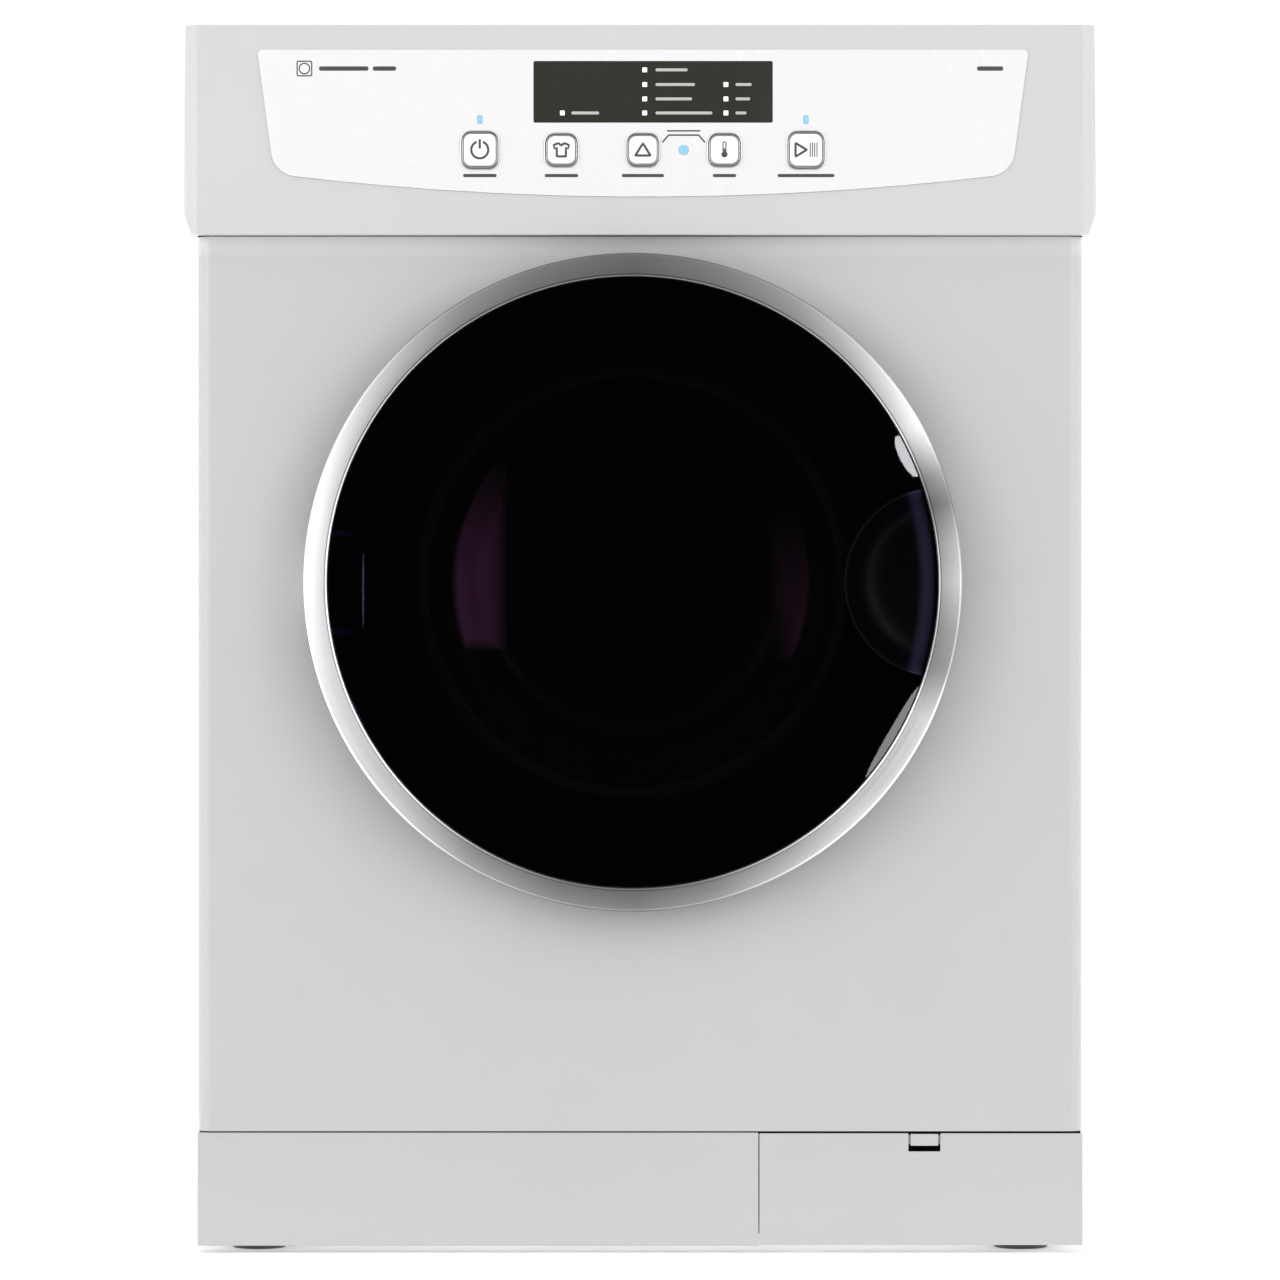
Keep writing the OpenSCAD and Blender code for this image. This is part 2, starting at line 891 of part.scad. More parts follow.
module idler_pulley() {
  color("#e4e2dc")
    difference() {
      union() {
        rod_y(idler_x, idler_z, y_belt - 6, y_belt + 6, idler_r);
        rod_y(idler_x, idler_z, y_belt - 7.5, y_belt - 6, idler_r + 3);
        rod_y(idler_x, idler_z, y_belt + 6, y_belt + 7.5, idler_r + 3);
      }
      rod_y(idler_x, idler_z, y_belt - 9, y_belt + 9, 4 + slip);
    }
}

// Tension spring from the base pan up to the idler arm
module idler_spring() {
  color("#a7abae")
    translate([idler_x - 24, y_belt + 10.5, 0])
      tube(3.6, 5, pan_z + 1.5, idler_z - 3.4);
}

// ---------- drum ----------

module drum_front() {
  inner = throat_r + 9.6;
  color("#c5c9cc")
    backwards(axis_x, y_drum, axis_z)
      rotate_extrude()
        polygon([
          [inner, 0], [inner + 10, 0], [drum_r - 8, 14], [drum_r, 14], [drum_r, 26],
          [drum_r - drum_t, 26], [drum_r - drum_t, 14 + drum_t], [drum_r - 8, 14 + drum_t],
          [inner + 10, drum_t + 0.6], [inner, drum_t + 0.6]
        ]);
}

module drum_shell() {
  track = y_belt - y_drum;
  color("#cdd1d4")
    backwards(axis_x, y_drum, axis_z) {
      tube(drum_r - drum_t, drum_r, 26, drum_l - 12);
      tube(drum_r - 0.5, drum_r + 2, track - 8, track - 6);
      tube(drum_r - 0.5, drum_r + 2, track + 6, track + 8);
    }
}

module drum_back() {
  color("#c0c4c7")
    backwards(axis_x, y_drum, axis_z)
      difference() {
        union() {
          tube(drum_r - drum_t, drum_r, drum_l - 12, drum_l);
          tube(shaft_r + 0.2, drum_r - drum_t / 2, drum_l - drum_t, drum_l);
        }
        ring_windows(66, 88, 8, 12, drum_l - 3, drum_l + 1);
      }
}

module drum_lifters() {
  color("#e3e3e0")
    for (a = [30, 150, 270])
      backwards(axis_x, y_drum + 40, axis_z)
        rotate([0, 0, a])
          linear_extrude(300)
            lifter_outline();
}

// Section of one lifter, standing inwards from the drum wall
module lifter_outline() {
  foot = drum_r - drum_t - 1.5;
  crest = foot - lifter_h;
  polygon([[foot, -28], [foot, 28], [crest + 12, 13], [crest + 9, 9], [crest + 9, -9], [crest + 12, -13]]);
  translate([crest + 9, 0])
    circle(9);
}

module drum_shaft() {
  color("#b7babd")
    backwards(axis_x, y_drum, axis_z) {
      translate([0, 0, drum_l - 10])
        cylinder(r = shaft_r, h = 48);
      translate([0, 0, drum_l])
        cylinder(r = 58, h = 4);
      translate([0, 0, drum_l - 10])
        cylinder(r = 17, h = 10 - drum_t);
    }
}

// Twist-off lint filter: a spoked dish with its mesh moulded in
module filter_cover() {
  mesh_t = 0.6;
  color("#dcdcd8")
    backwards(axis_x, y_drum + drum_l - 22, axis_z)
      difference() {
        translate([0, 0, -2])
          cylinder(r = 96, h = 22.4);
        translate([0, 0, mesh_t])
          cylinder(r = 92, h = 22);
        ring_windows(26, 88, 12, 6, -3, 0);
      }
}

// ---------- door ----------

// Removes what stands in the way of the hinge
module hinge_notch() {
  block([hinge_x - 40, y_face - ring_back_h, axis_z - 36],
        [hinge_x + 30, y_face + 1, axis_z + 36]);
}

module door_frame() {
  outer = ring_r - 1.5;
  color("#3c3d40")
    difference() {
      on_door() {
        tube(bowl_r + 0.5, outer, door_back_h, door_back_h + 3);
        tube(outer - 3, outer, door_back_h + 2, ring_back_h);
        tube(glass_r - 4, outer, ring_back_h - 3, ring_back_h);
      }
      hinge_notch();
      on_door()
        intersection() {
          translate([glass_r, 0, door_back_h + 4])
            cylinder(r = grip_r + 0.4, h = 60);
          cylinder(r = outer - 3, h = 60);
        }
    }
}

module door_ring() {
  color("#c8cacc")
    on_door()
      rotate_extrude($fn = 180)
        polygon([
          [glass_r, ring_back_h], [ring_r, ring_back_h], [ring_r, ring_front_h - 5],
          [ring_r - 1, ring_front_h - 3], [ring_r - 4, ring_front_h - 1],
          [glass_r + 2, ring_front_h], [glass_r, ring_front_h - 1.5]
        ]);
}

// Solid under the dome surface, offset inwards by t
module dome(t) {
  translate([0, 0, door_proud - dome_r])
    sphere(r = dome_r - t, $fn = 180);
}

module door_glass() {
  color("#0a0b12")
    on_door()
      difference() {
        intersection() {
          cylinder(r = glass_r - 0.2, h = door_proud + 5);
          dome(0);
        }
        intersection() {
          translate([0, 0, -1])
            cylinder(r = glass_r + 5, h = door_proud + 5);
          dome(glass_t);
        }
        translate([glass_r, 0, 0])
          cylinder(r = grip_r, h = 60);
      }
}

// Scooped cup behind the ring, for the fingers
module door_grip() {
  wall = 2.5;
  floor_h = door_back_h + 5;
  color("#15161c")
    on_door()
      difference() {
        intersection() {
          translate([glass_r, 0, floor_h])
            cylinder(r = grip_r - 0.2, h = 40);
          cylinder(r = ring_r - 4.6, h = 60);
          dome(0.3);
        }
        intersection() {
          translate([glass_r, 0, floor_h + wall])
            cylinder(r = grip_r - wall, h = 60);
          cylinder(r = ring_r - 7, h = 70);
        }
        tube(glass_r - 0.3, ring_r + 5, ring_back_h - 0.2, 60);
      }
}

module door_bowl() {
  h0 = door_back_h + 3;
  color("#30323a")
    on_door()
      rotate_extrude()
        polygon([
          [0, -122], [bowl_r - 32, -116], [bowl_r - 22, -106], [bowl_r, door_back_h], [bowl_r, h0],
          [bowl_r + 3, h0], [bowl_r + 3, h0 + 2], [bowl_r - 4, h0 + 2],
          [bowl_r - 26, -104], [bowl_r - 34, -112], [0, -118]
        ]);
}

module door_gasket() {
  color("#4a4b4e")
    on_door()
      tube(throat_r + 4, throat_r + 13, 0.5, door_back_h);
}

// Hook that enters the catch
module door_strike() {
  x = axis_x + strike_x;
  color("#d5d7d9")
    block([x - 5, y_face - door_back_h, axis_z - 8], [x - 1, y_face + 20, axis_z + 8]);
  color("#d5d7d9")
    block([x - 1, y_face + 13, axis_z - 8], [x + 2, y_face + 20, axis_z + 8]);
}

module door_hinge_leaf() {
  h0 = 8;
  color("#a3a7aa")
    difference() {
      union() {
        block([hinge_x + 5, y_face - ring_back_h, axis_z - hinge_half_z],
              [hinge_x + 30, y_face - h0, axis_z + hinge_half_z]);
        for (z = [axis_z - hinge_half_z, axis_z + 20]) {
          translate([hinge_x, y_face - hinge_h, z])
            cylinder(r = hinge_knuckle_r, h = hinge_half_z - 20);
          block([hinge_x, y_face - hinge_h - hinge_knuckle_r, z],
                [hinge_x + 6, y_face - hinge_h + hinge_knuckle_r, z + hinge_half_z - 20]);
        }
      }
      translate([hinge_x, y_face - hinge_h, axis_z - 40])
        cylinder(r = hinge_pin_r + slip, h = 80);
    }
}

// ---------- feet ----------

module foot_front_left() foot(-foot_x, foot_front_y);

module foot_front_right() foot(foot_x, foot_front_y);

module foot_rear_left() foot(-foot_x, foot_rear_y);

module foot_rear_right() foot(foot_x, foot_rear_y);

// ---------- nodes ----------

base_pan();
side_panel_left();
side_panel_right();
rear_panel();
front_panel();
top_panel();
console_housing();
console_fascia();
display_window();
button_bezels();
indicator_lenses();
control_board();
plinth_panel();
front_bulkhead();
drum_front_seal();
heater_housing();
heater_coils();
thermostats();
rear_bulkhead();
drum_bearing();
rear_duct();
blower_housing();
exhaust_duct();
motor_bracket();
motor_stator();
idler_spring();
drive_belt();
door_catch();
hinge_bracket();
cord_gland();
rear_screws();
door_frame();
door_ring();
door_glass();
door_grip();
door_bowl();
door_gasket();
door_strike();
door_hinge_leaf();
drum_front();
drum_shell();
drum_back();
drum_lifters();
drum_shaft();
filter_cover();
rotor_shaft();
blower_wheel();
idler_arm();
idler_pulley();
button_power();
button_refresh();
button_programs();
button_temp();
button_start();
service_flap();
flap_latch();
foot_front_left();
foot_front_right();
foot_rear_left();
foot_rear_right();
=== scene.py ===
import json
import math

import bmesh
import bpy
from mathutils import Matrix, Vector


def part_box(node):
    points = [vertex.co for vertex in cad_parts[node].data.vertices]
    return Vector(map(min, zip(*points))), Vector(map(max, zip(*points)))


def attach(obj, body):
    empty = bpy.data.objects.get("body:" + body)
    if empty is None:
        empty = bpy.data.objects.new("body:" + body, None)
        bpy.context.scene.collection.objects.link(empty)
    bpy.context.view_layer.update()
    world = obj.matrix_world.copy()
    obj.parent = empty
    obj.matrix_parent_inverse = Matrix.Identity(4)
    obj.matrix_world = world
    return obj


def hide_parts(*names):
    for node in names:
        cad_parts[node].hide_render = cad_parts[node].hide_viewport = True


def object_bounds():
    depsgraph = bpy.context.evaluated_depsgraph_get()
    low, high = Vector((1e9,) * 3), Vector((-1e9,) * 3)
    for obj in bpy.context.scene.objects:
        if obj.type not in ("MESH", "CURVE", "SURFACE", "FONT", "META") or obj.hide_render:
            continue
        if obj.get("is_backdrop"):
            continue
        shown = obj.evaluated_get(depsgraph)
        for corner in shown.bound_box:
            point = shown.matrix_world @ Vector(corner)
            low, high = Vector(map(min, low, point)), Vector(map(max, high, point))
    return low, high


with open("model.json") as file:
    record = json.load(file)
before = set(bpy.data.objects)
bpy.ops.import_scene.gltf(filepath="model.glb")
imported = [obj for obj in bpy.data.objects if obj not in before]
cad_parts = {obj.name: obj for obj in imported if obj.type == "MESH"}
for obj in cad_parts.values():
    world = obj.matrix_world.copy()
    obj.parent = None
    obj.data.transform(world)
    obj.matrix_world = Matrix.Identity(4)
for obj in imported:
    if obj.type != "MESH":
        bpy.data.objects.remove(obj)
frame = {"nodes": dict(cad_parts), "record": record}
cad_low, cad_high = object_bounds()

MM = 0.001
BODY_OF = {n: b for b, ns in frame["record"]["behaviour"]["bodies"].items() for n in ns}
SLOT_OF = {s["node"]: s["material_slot"] for s in frame["record"]["subparts"]}

# Places that the pieces are worked out from
ring_low, ring_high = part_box("door_ring")
AXIS_X = (ring_low.x + ring_high.x) / 2
AXIS_Z = (ring_low.z + ring_high.z) / 2
RING_R = (ring_high.x - ring_low.x) / 2
FACE_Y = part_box("front_panel")[0].y
GLASS_FRONT_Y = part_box("door_glass")[0].y
GLASS_R = RING_R - 16.5 * MM
GRIP_R = 64 * MM
DOME_H = FACE_Y - GLASS_FRONT_Y
DOME_EDGE_H = 32 * MM
DOME_SAG = DOME_H - DOME_EDGE_H
DOME_R = (GLASS_R**2 + DOME_SAG**2) / (2 * DOME_SAG)
FASCIA_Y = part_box("console_fascia")[0].y
CONSOLE_FOOT_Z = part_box("console_housing")[0].z


# ---------------------------------------------------------------- materials


def math_node(tree, operation, first, second=None):
    """Output of a math node on one or two values, each a number or another node's output."""
    node = tree.nodes.new("ShaderNodeMath")
    node.operation = operation
    for socket, value in zip(node.inputs, (first, second)):
        if isinstance(value, (int, float)):
            socket.default_value = value
        elif value is not None:
            tree.links.new(value, socket)
    return node.outputs[0]


class Nodes:
    """Short calls for building one material's node tree."""

    def __init__(self, name):
        self.material = bpy.data.materials.new(name)
        self.material.use_nodes = True
        self.tree = self.material.node_tree
        self.shader = self.tree.nodes["Principled BSDF"]
        places = self.tree.nodes.new("ShaderNodeTexCoord").outputs
        self.coords = places["Object"]
        self.normal = places["Normal"]

    def add(self, kind, **settings):
        node = self.tree.nodes.new(kind)
        for key, value in settings.items():
            setattr(node, key, value)
        return node

    def link(self, output, socket):
        self.tree.links.new(output, socket)

    def set(self, **values):
        for key, value in values.items():
            self.shader.inputs[key.replace("_", " ")].default_value = value

    def math(self, operation, first, second=None):
        return math_node(self.tree, operation, first, second)

    def parts(self, vector):
        """The X, Y and Z outputs of a vector."""
        split = self.add("ShaderNodeSeparateXYZ")
        self.link(vector, split.inputs["Vector"])
        return split.outputs

    def mix(self, factor, first, second, blend="MIX"):
        """Blend of two colours, each a tuple or another node's output."""
        node = self.add("ShaderNodeMix", data_type="RGBA", blend_type=blend)
        self.link(factor, node.inputs["Factor"])
        for key, value in (("A", first), ("B", second)):
            if isinstance(value, tuple):
                node.inputs[key].default_value = (*value, 1)
            else:
                self.link(value, node.inputs[key])
        return node.outputs["Result"]

    def stretched(self, scale):
        mapping = self.add("ShaderNodeMapping")
        mapping.inputs["Scale"].default_value = scale
        self.link(self.coords, mapping.inputs["Vector"])
        return mapping.outputs["Vector"]

    def noise(self, scale, detail, rough=0.5, vector=None):
        node = self.add("ShaderNodeTexNoise")
        node.inputs["Scale"].default_value = scale
        node.inputs["Detail"].default_value = detail
        node.inputs["Roughness"].default_value = rough
        self.link(vector or self.coords, node.inputs["Vector"])
        return node.outputs["Fac"]

    def ramp(self, factor, stops):
        node = self.add("ShaderNodeValToRGB")
        while len(node.color_ramp.elements) < len(stops):
            node.color_ramp.elements.new(0.5)
        for element, (place, color) in zip(node.color_ramp.elements, stops):
            element.position = place
            element.color = (*color, 1)
        self.link(factor, node.inputs["Fac"])
        return node.outputs["Color"]

    def spread(self, factor, low, high, from_low=0.3, from_high=0.7):
        """Value that runs from low to high while the factor runs between the last two."""
        node = self.add("ShaderNodeMapRange")
        for key, value in (("From Min", from_low), ("From Max", from_high),
                           ("To Min", low), ("To Max", high)):
            node.inputs[key].default_value = value
        self.link(factor, node.inputs["Value"])
        return node.outputs["Result"]

    def facing(self, low, high, from_low, from_high):
        """Spread by how far the surface faces backwards on the object itself: -1 is forwards."""
        return self.spread(self.parts(self.normal)["Y"], low, high, from_low, from_high)

    def bump(self, height, strength, distance):
        node = self.add("ShaderNodeBump")
        node.inputs["Strength"].default_value = strength
        node.inputs["Distance"].default_value = distance
        self.link(height, node.inputs["Height"])
        self.link(node.outputs["Normal"], self.shader.inputs["Normal"])


def tinted(color, amount):
    """The colour made lighter by a share of itself, or darker by a negative one."""
    return tuple(max(0.0, min(1.0, c * (1 + amount))) for c in color)


SHADOW_H = 16 * MM
SHADOW_LIFT = 1.35


def coated(name, color, rough=(0.34, 0.42), peel=260, height=0.00006, coat=0.08, tone=0.012,
           overhang_z=None):
    """Enamel or smooth moulded plastic: faint orange peel and slow changes of tone.

    Close under an overhang the finish is lighter, to make up for the shadow.
    """
    m = Nodes(name)
    shade = m.ramp(m.noise(5, 4), [(0.3, tinted(color, -tone)), (0.7, tinted(color, tone))])
    if overhang_z:
        lift = m.spread(m.parts(m.coords)["Z"], 1.0, SHADOW_LIFT, overhang_z - SHADOW_H, overhang_z)
        lighter = m.add("ShaderNodeVectorMath", operation="SCALE")
        m.link(shade, lighter.inputs[0])
        m.link(lift, lighter.inputs["Scale"])
        shade = lighter.outputs["Vector"]
    m.link(shade, m.shader.inputs["Base Color"])
    m.link(m.spread(m.noise(28, 5), *rough), m.shader.inputs["Roughness"])
    m.bump(m.noise(peel, 2), 0.35, height)
    m.set(Coat_Weight=coat, Coat_Roughness=0.12)
    return m.material


def grained(name, color, rough=(0.45, 0.6), grain=900, height=0.00012):
    """Textured moulded plastic or rubber with a fine grain."""
    m = Nodes(name)
    m.link(m.ramp(m.noise(9, 5), [(0.25, tinted(color, -0.06)), (0.75, tinted(color, 0.06))]),
           m.shader.inputs["Base Color"])
    m.link(m.spread(m.noise(60, 4), *rough), m.shader.inputs["Roughness"])
    m.bump(m.noise(grain, 3, 0.6), 0.5, height)
    return m.material


def metal(name, color, rough, stretch, scale, height=0.00004):
    """Steel, zinc or aluminium with a drawn or ground finish along the long axis of stretch."""
    m = Nodes(name)
    lines = m.noise(scale, 6, 0.65, m.stretched(stretch))
    m.link(m.ramp(lines, [(0.2, tinted(color, -0.1)), (0.8, tinted(color, 0.06))]),
           m.shader.inputs["Base Color"])
    m.link(m.spread(lines, *rough), m.shader.inputs["Roughness"])
    m.bump(lines, 0.25, height)
    m.set(Metallic=1.0)
    return m.material


def spangled(name, color):
    """Zinc-coated sheet with crystal spangle."""
    m = Nodes(name)
    cells = m.add("ShaderNodeTexVoronoi")
    cells.inputs["Scale"].default_value = 90
    m.link(m.coords, cells.inputs["Vector"])
    tone = m.add("ShaderNodeSeparateColor")
    m.link(cells.outputs["Color"], tone.inputs["Color"])
    m.link(m.ramp(tone.outputs["Red"], [(0, tinted(color, -0.12)), (1, tinted(color, 0.08))]),
           m.shader.inputs["Base Color"])
    m.link(m.spread(tone.outputs["Green"], 0.3, 0.5, 0, 1), m.shader.inputs["Roughness"])
    m.bump(m.noise(300, 3), 0.2, 0.00005)
    m.set(Metallic=0.85)
    return m.material


def around_axis(m):
    """Radius and angle about the door axis, for marks that run round it, and plain X, Y and Z."""
    split = m.parts(m.coords)
    x = m.math("SUBTRACT", split["X"], AXIS_X)
    z = m.math("SUBTRACT", split["Z"], AXIS_Z)
    both = m.add("ShaderNodeCombineXYZ")
    m.link(x, both.inputs["X"])
    m.link(z, both.inputs["Y"])
    radius = m.add("ShaderNodeVectorMath", operation="LENGTH")
    m.link(both.outputs["Vector"], radius.inputs[0])
    return radius.outputs["Value"], m.math("ARCTAN2", z, x), split


# Painted reflection on the ring, light and dark fans of painted highlight and painted shade: share of a turn
# anticlockwise from the left, and tone
PAINTED_FAN = ((0.0, 1.0), (0.085, 1.0), (0.12, 0.87), (0.165, 0.42), (0.21, 0.25), (0.25, 0.2), (0.29, 0.3),
       (0.33, 0.58), (0.37, 0.96), (0.41, 1.0), (0.43, 1.0), (0.455, 0.42), (0.475, 0.42), (0.5, 0.6),
       (0.52, 0.45), (0.54, 0.2), (0.555, 0.32), (0.58, 0.82), (0.625, 0.55), (0.665, 0.37),
       (0.71, 0.26), (0.75, 0.19), (0.8, 0.24), (0.84, 0.32), (0.92, 0.67), (0.97, 0.93), (1.0, 1.0))


def turned(name, color, rough, lines=4000, height=0.00002, painted_fan=()):
    """Metal brushed round the door axis: the marks are circles, and a fan table paints light and dark fans
    into the tone, a painted reflection.
    """
    m = Nodes(name)
    radius, angle, _ = around_axis(m)
    place = m.add("ShaderNodeCombineXYZ")
    m.link(m.math("MULTIPLY", radius, lines), place.inputs["X"])
    m.link(angle, place.inputs["Y"])
    marks = m.noise(1.0, 4, 0.6, place.outputs["Vector"])
    tone = m.ramp(marks, [(0.2, tinted(color, -0.08)), (0.8, tinted(color, 0.05))])
    # Painted reflection: the fans lighten and darken the tone on faces that look forwards
    if painted_fan:
        turn = m.spread(angle, 0, 1, -math.pi, math.pi)
        fans = m.ramp(turn, [(share, (level, level, level)) for share, level in painted_fan])
        tone = m.mix(m.facing(1, 0.25, -0.4, -0.05), tone, fans, "MULTIPLY")
    m.link(tone, m.shader.inputs["Base Color"])
    m.link(m.spread(marks, *rough), m.shader.inputs["Roughness"])
    m.bump(marks, 0.3, height)
    tangent = m.add("ShaderNodeTangent", direction_type="RADIAL", axis="Y")
    m.link(tangent.outputs["Tangent"], m.shader.inputs["Tangent"])
    m.set(Metallic=1.0, Anisotropic=0.4)
    return m.material


def smoked_glass(name, color, rim, rim_r):
    """Dark glossy tinted glass, printed darker from radius rim_r to its edge."""
    m = Nodes(name)
    radius, _, _ = around_axis(m)
    rim_share = rim_r / RING_R
    stops = [(0.0, tinted(color, -0.2)), (rim_share - 0.05, color), (rim_share, rim), (1.0, tinted(rim, 0.6))]
    m.link(m.ramp(m.spread(radius, 0, 1, 0, RING_R), stops), m.shader.inputs["Base Color"])
    m.link(m.spread(m.noise(14, 4), 0.005, 0.02), m.shader.inputs["Roughness"])
    m.bump(m.noise(22, 2), 0.04, 0.00003)
    m.set(Transmission_Weight=1.0, IOR=1.45, Specular_IOR_Level=0.08)
    return m.material


def grip_cup_finish(name):
    """Near-black moulding with a painted reflection: a violet crescent beside the ring, painted into the
    colour.
    """
    m = Nodes(name)
    radius, _, _ = around_axis(m)
    # The violet band near the ring is a painted reflection
    stops = [(0.0, (0.001, 0.001, 0.002)), (0.25, (0.002, 0.002, 0.004)), (0.45, (0.025, 0.018, 0.045)),
             (0.6, (0.02, 0.014, 0.035)), (0.68, (0.001, 0.001, 0.002))]
    across = m.spread(radius, 0, 1, GLASS_R - 20 * MM, GLASS_R + 8 * MM)
    m.link(m.ramp(across, stops), m.shader.inputs["Base Color"])
    m.link(m.spread(m.noise(60, 4), 0.35, 0.45), m.shader.inputs["Roughness"])
    m.bump(m.noise(700, 2), 0.2, 0.00003)
    m.set(Specular_IOR_Level=0.05)
    return m.material


def bowl_finish(name):
    """Smoked bowl with painted reflections: violet crescents painted on its left and right shoulders."""
    m = Nodes(name)
    radius, _, split = around_axis(m)

    def crescent(side, inner, outer, low, high, strength):
        """Soft-edged area between an upright line and an arc about the axis."""
        line_x = AXIS_X + side * (inner - 3 * MM)
        full_x = AXIS_X + side * (inner + 14 * MM)
        foot = AXIS_Z + low
        head = AXIS_Z + high
        edges = [m.spread(split["X"], 0, strength, line_x, full_x),
                 m.spread(radius, strength, 0, outer - 3 * MM, outer + 1 * MM),
                 m.spread(split["Z"], 0, strength, foot - 6 * MM, foot + 4 * MM),
                 m.spread(split["Z"], strength, 0, head - 80 * MM, head)]
        least = edges[0]
        for edge in edges[1:]:
            least = m.math("MINIMUM", least, edge)
        return least

    # Painted reflection: the violet crescents, only on faces that look forwards
    sheen = m.math("MAXIMUM", crescent(-1, 91 * MM, 125 * MM, -42 * MM, 88 * MM, 1.0),
                   crescent(1, 101 * MM, 123 * MM, -50 * MM, 56 * MM, 0.4))
    inside = m.math("MULTIPLY", sheen, m.facing(1, 0, -0.06, -0.01))
    painted_reflection_color = m.mix(inside, (0.002, 0.002, 0.003), (0.72, 0.25, 0.54))
    m.link(painted_reflection_color, m.shader.inputs["Base Color"])
    m.link(m.spread(m.noise(40, 4), 0.08, 0.14), m.shader.inputs["Roughness"])
    m.bump(m.noise(30, 2), 0.1, 0.00003)
    m.set(Specular_IOR_Level=0.06, IOR=1.45)
    return m.material


def felt(name, color):
    """Pressed wool with a soft sheen."""
    m = Nodes(name)
    m.link(m.ramp(m.noise(500, 6, 0.7), [(0.3, tinted(color, -0.3)), (0.7, tinted(color, 0.25))]),
           m.shader.inputs["Base Color"])
    m.bump(m.noise(1400, 4, 0.8), 0.9, 0.0004)
    m.set(Roughness=0.95, Sheen_Weight=0.4)
    return m.material


def lamp(name, color, glow):
    """Frosted lens that is softly lit from behind."""
    m = Nodes(name)
    m.link(m.ramp(m.noise(700, 2), [(0.3, tinted(color, -0.1)), (0.7, tinted(color, 0.1))]),
           m.shader.inputs["Base Color"])
    m.bump(m.noise(1500, 2), 0.2, 0.00003)
    m.set(Roughness=0.3, Emission_Color=(*color, 1), Emission_Strength=glow)
    return m.material


def circuit(name):
    """Green circuit board with fine copper lines."""
    m = Nodes(name)
    cells = m.add("ShaderNodeTexBrick")
    cells.inputs["Scale"].default_value = 60
    m.link(m.coords, cells.inputs["Vector"])
    cells.inputs["Color1"].default_value = (0.02, 0.16, 0.07, 1)
    cells.inputs["Color2"].default_value = (0.03, 0.2, 0.09, 1)
    cells.inputs["Mortar"].default_value = (0.3, 0.26, 0.1, 1)
    m.link(cells.outputs["Color"], m.shader.inputs["Base Color"])
    m.bump(cells.outputs["Fac"], 0.3, 0.00008)
    m.set(Roughness=0.4)
    return m.material


PAINT = (0.555, 0.555, 0.545)
MATERIALS = {
    "cabinet_paint": coated("cabinet_paint", PAINT),
    "console_plastic": coated("console_plastic", (0.61, 0.61, 0.607), (0.32, 0.42), 420, 0.00004, 0.1),
    "fascia_white": coated("fascia_white", (0.82, 0.81, 0.815), (0.22, 0.3), 500, 0.00002, 0.2, 0.001),
    "display_dark": coated("display_dark", (0.035, 0.033, 0.026), (0.12, 0.2), 500, 0.00002, 0.6, 0.04),
    "chrome_trim": metal("chrome_trim", (0.8, 0.81, 0.82), (0.26, 0.3), (1, 1, 1), 60, 0.000002),
    "lamp_blue": lamp("lamp_blue", (0.24, 0.57, 0.76), 0.12),
    "board_green": circuit("board_green"),
    "galvanised_steel": spangled("galvanised_steel", (0.5, 0.51, 0.52)),
    "felt_seal": felt("felt_seal", (0.2, 0.19, 0.18)),
    "heater_steel": metal("heater_steel", (0.34, 0.28, 0.24), (0.35, 0.5), (1, 8, 8), 60),
    "bearing_bronze": metal("bearing_bronze", (0.5, 0.33, 0.14), (0.3, 0.45), (1, 6, 1), 80),
    "duct_plastic": grained("duct_plastic", (0.2, 0.205, 0.21)),
    "motor_aluminium": metal("motor_aluminium", (0.42, 0.43, 0.44), (0.35, 0.5), (1, 10, 1), 50),
    "belt_rubber": grained("belt_rubber", (0.02, 0.02, 0.022), (0.6, 0.75), 700),
    "white_plastic": coated("white_plastic", (0.78, 0.78, 0.75), (0.35, 0.45), 500, 0.00005, 0.05),
    "zinc_plate": metal("zinc_plate", (0.6, 0.61, 0.63), (0.25, 0.4), (6, 6, 1), 90),
    "black_rubber": grained("black_rubber", (0.025, 0.025, 0.027), (0.55, 0.7), 800),
    "door_plastic": grained("door_plastic", (0.05, 0.05, 0.055), (0.35, 0.5), 1200, 0.00006),
    "door_trim": turned("door_trim", (0.92, 0.92, 0.925), (0.36, 0.46), painted_fan=PAINTED_FAN),
    "door_glass": smoked_glass("door_glass", (0.4, 0.39, 0.42), (0.01, 0.018, 0.055), 150 * MM),
    "grip_plastic": grip_cup_finish("grip_plastic"),
    "bowl_glass": bowl_finish("bowl_glass"),
    "drum_steel": turned("drum_steel", (0.62, 0.63, 0.64), (0.26, 0.42), 1500, 0.00004),
    "shaft_steel": metal("shaft_steel", (0.6, 0.61, 0.62), (0.15, 0.28), (20, 1, 20), 60),
    "button_white": coated("button_white", (0.93, 0.93, 0.93), (0.25, 0.34), 600, 0.00002, 0.3, 0.004),
}
# The pieces below the seam are a slightly darker grey than the panel above
KICK_PLASTIC = coated("kick_plastic", (0.545, 0.545, 0.54), (0.32, 0.42), 420, 0.00004, 0.05)
OWN_FINISH = {
    "front_panel": coated("front_paint", PAINT, overhang_z=CONSOLE_FOOT_Z),
    "plinth_panel": KICK_PLASTIC,
    "service_flap": KICK_PLASTIC,
    "flap_latch": KICK_PLASTIC,
}
PRINT_DARK = coated("print_dark", (0.07, 0.07, 0.075), (0.35, 0.45), 600, 0.00001, 0.0, 0.05)
PRINT_PALE = coated("print_pale", (0.5, 0.5, 0.48), (0.35, 0.45), 600, 0.00001, 0.0, 0.05)
LAMP_WHITE = lamp("lamp_white", (0.9, 0.9, 0.88), 0.6)


# ---------------------------------------------------------------- piece helpers

SAME_PLACE = 1e-6
FLAT_DEGREES = 0.6
CORNER_DEGREES = 32


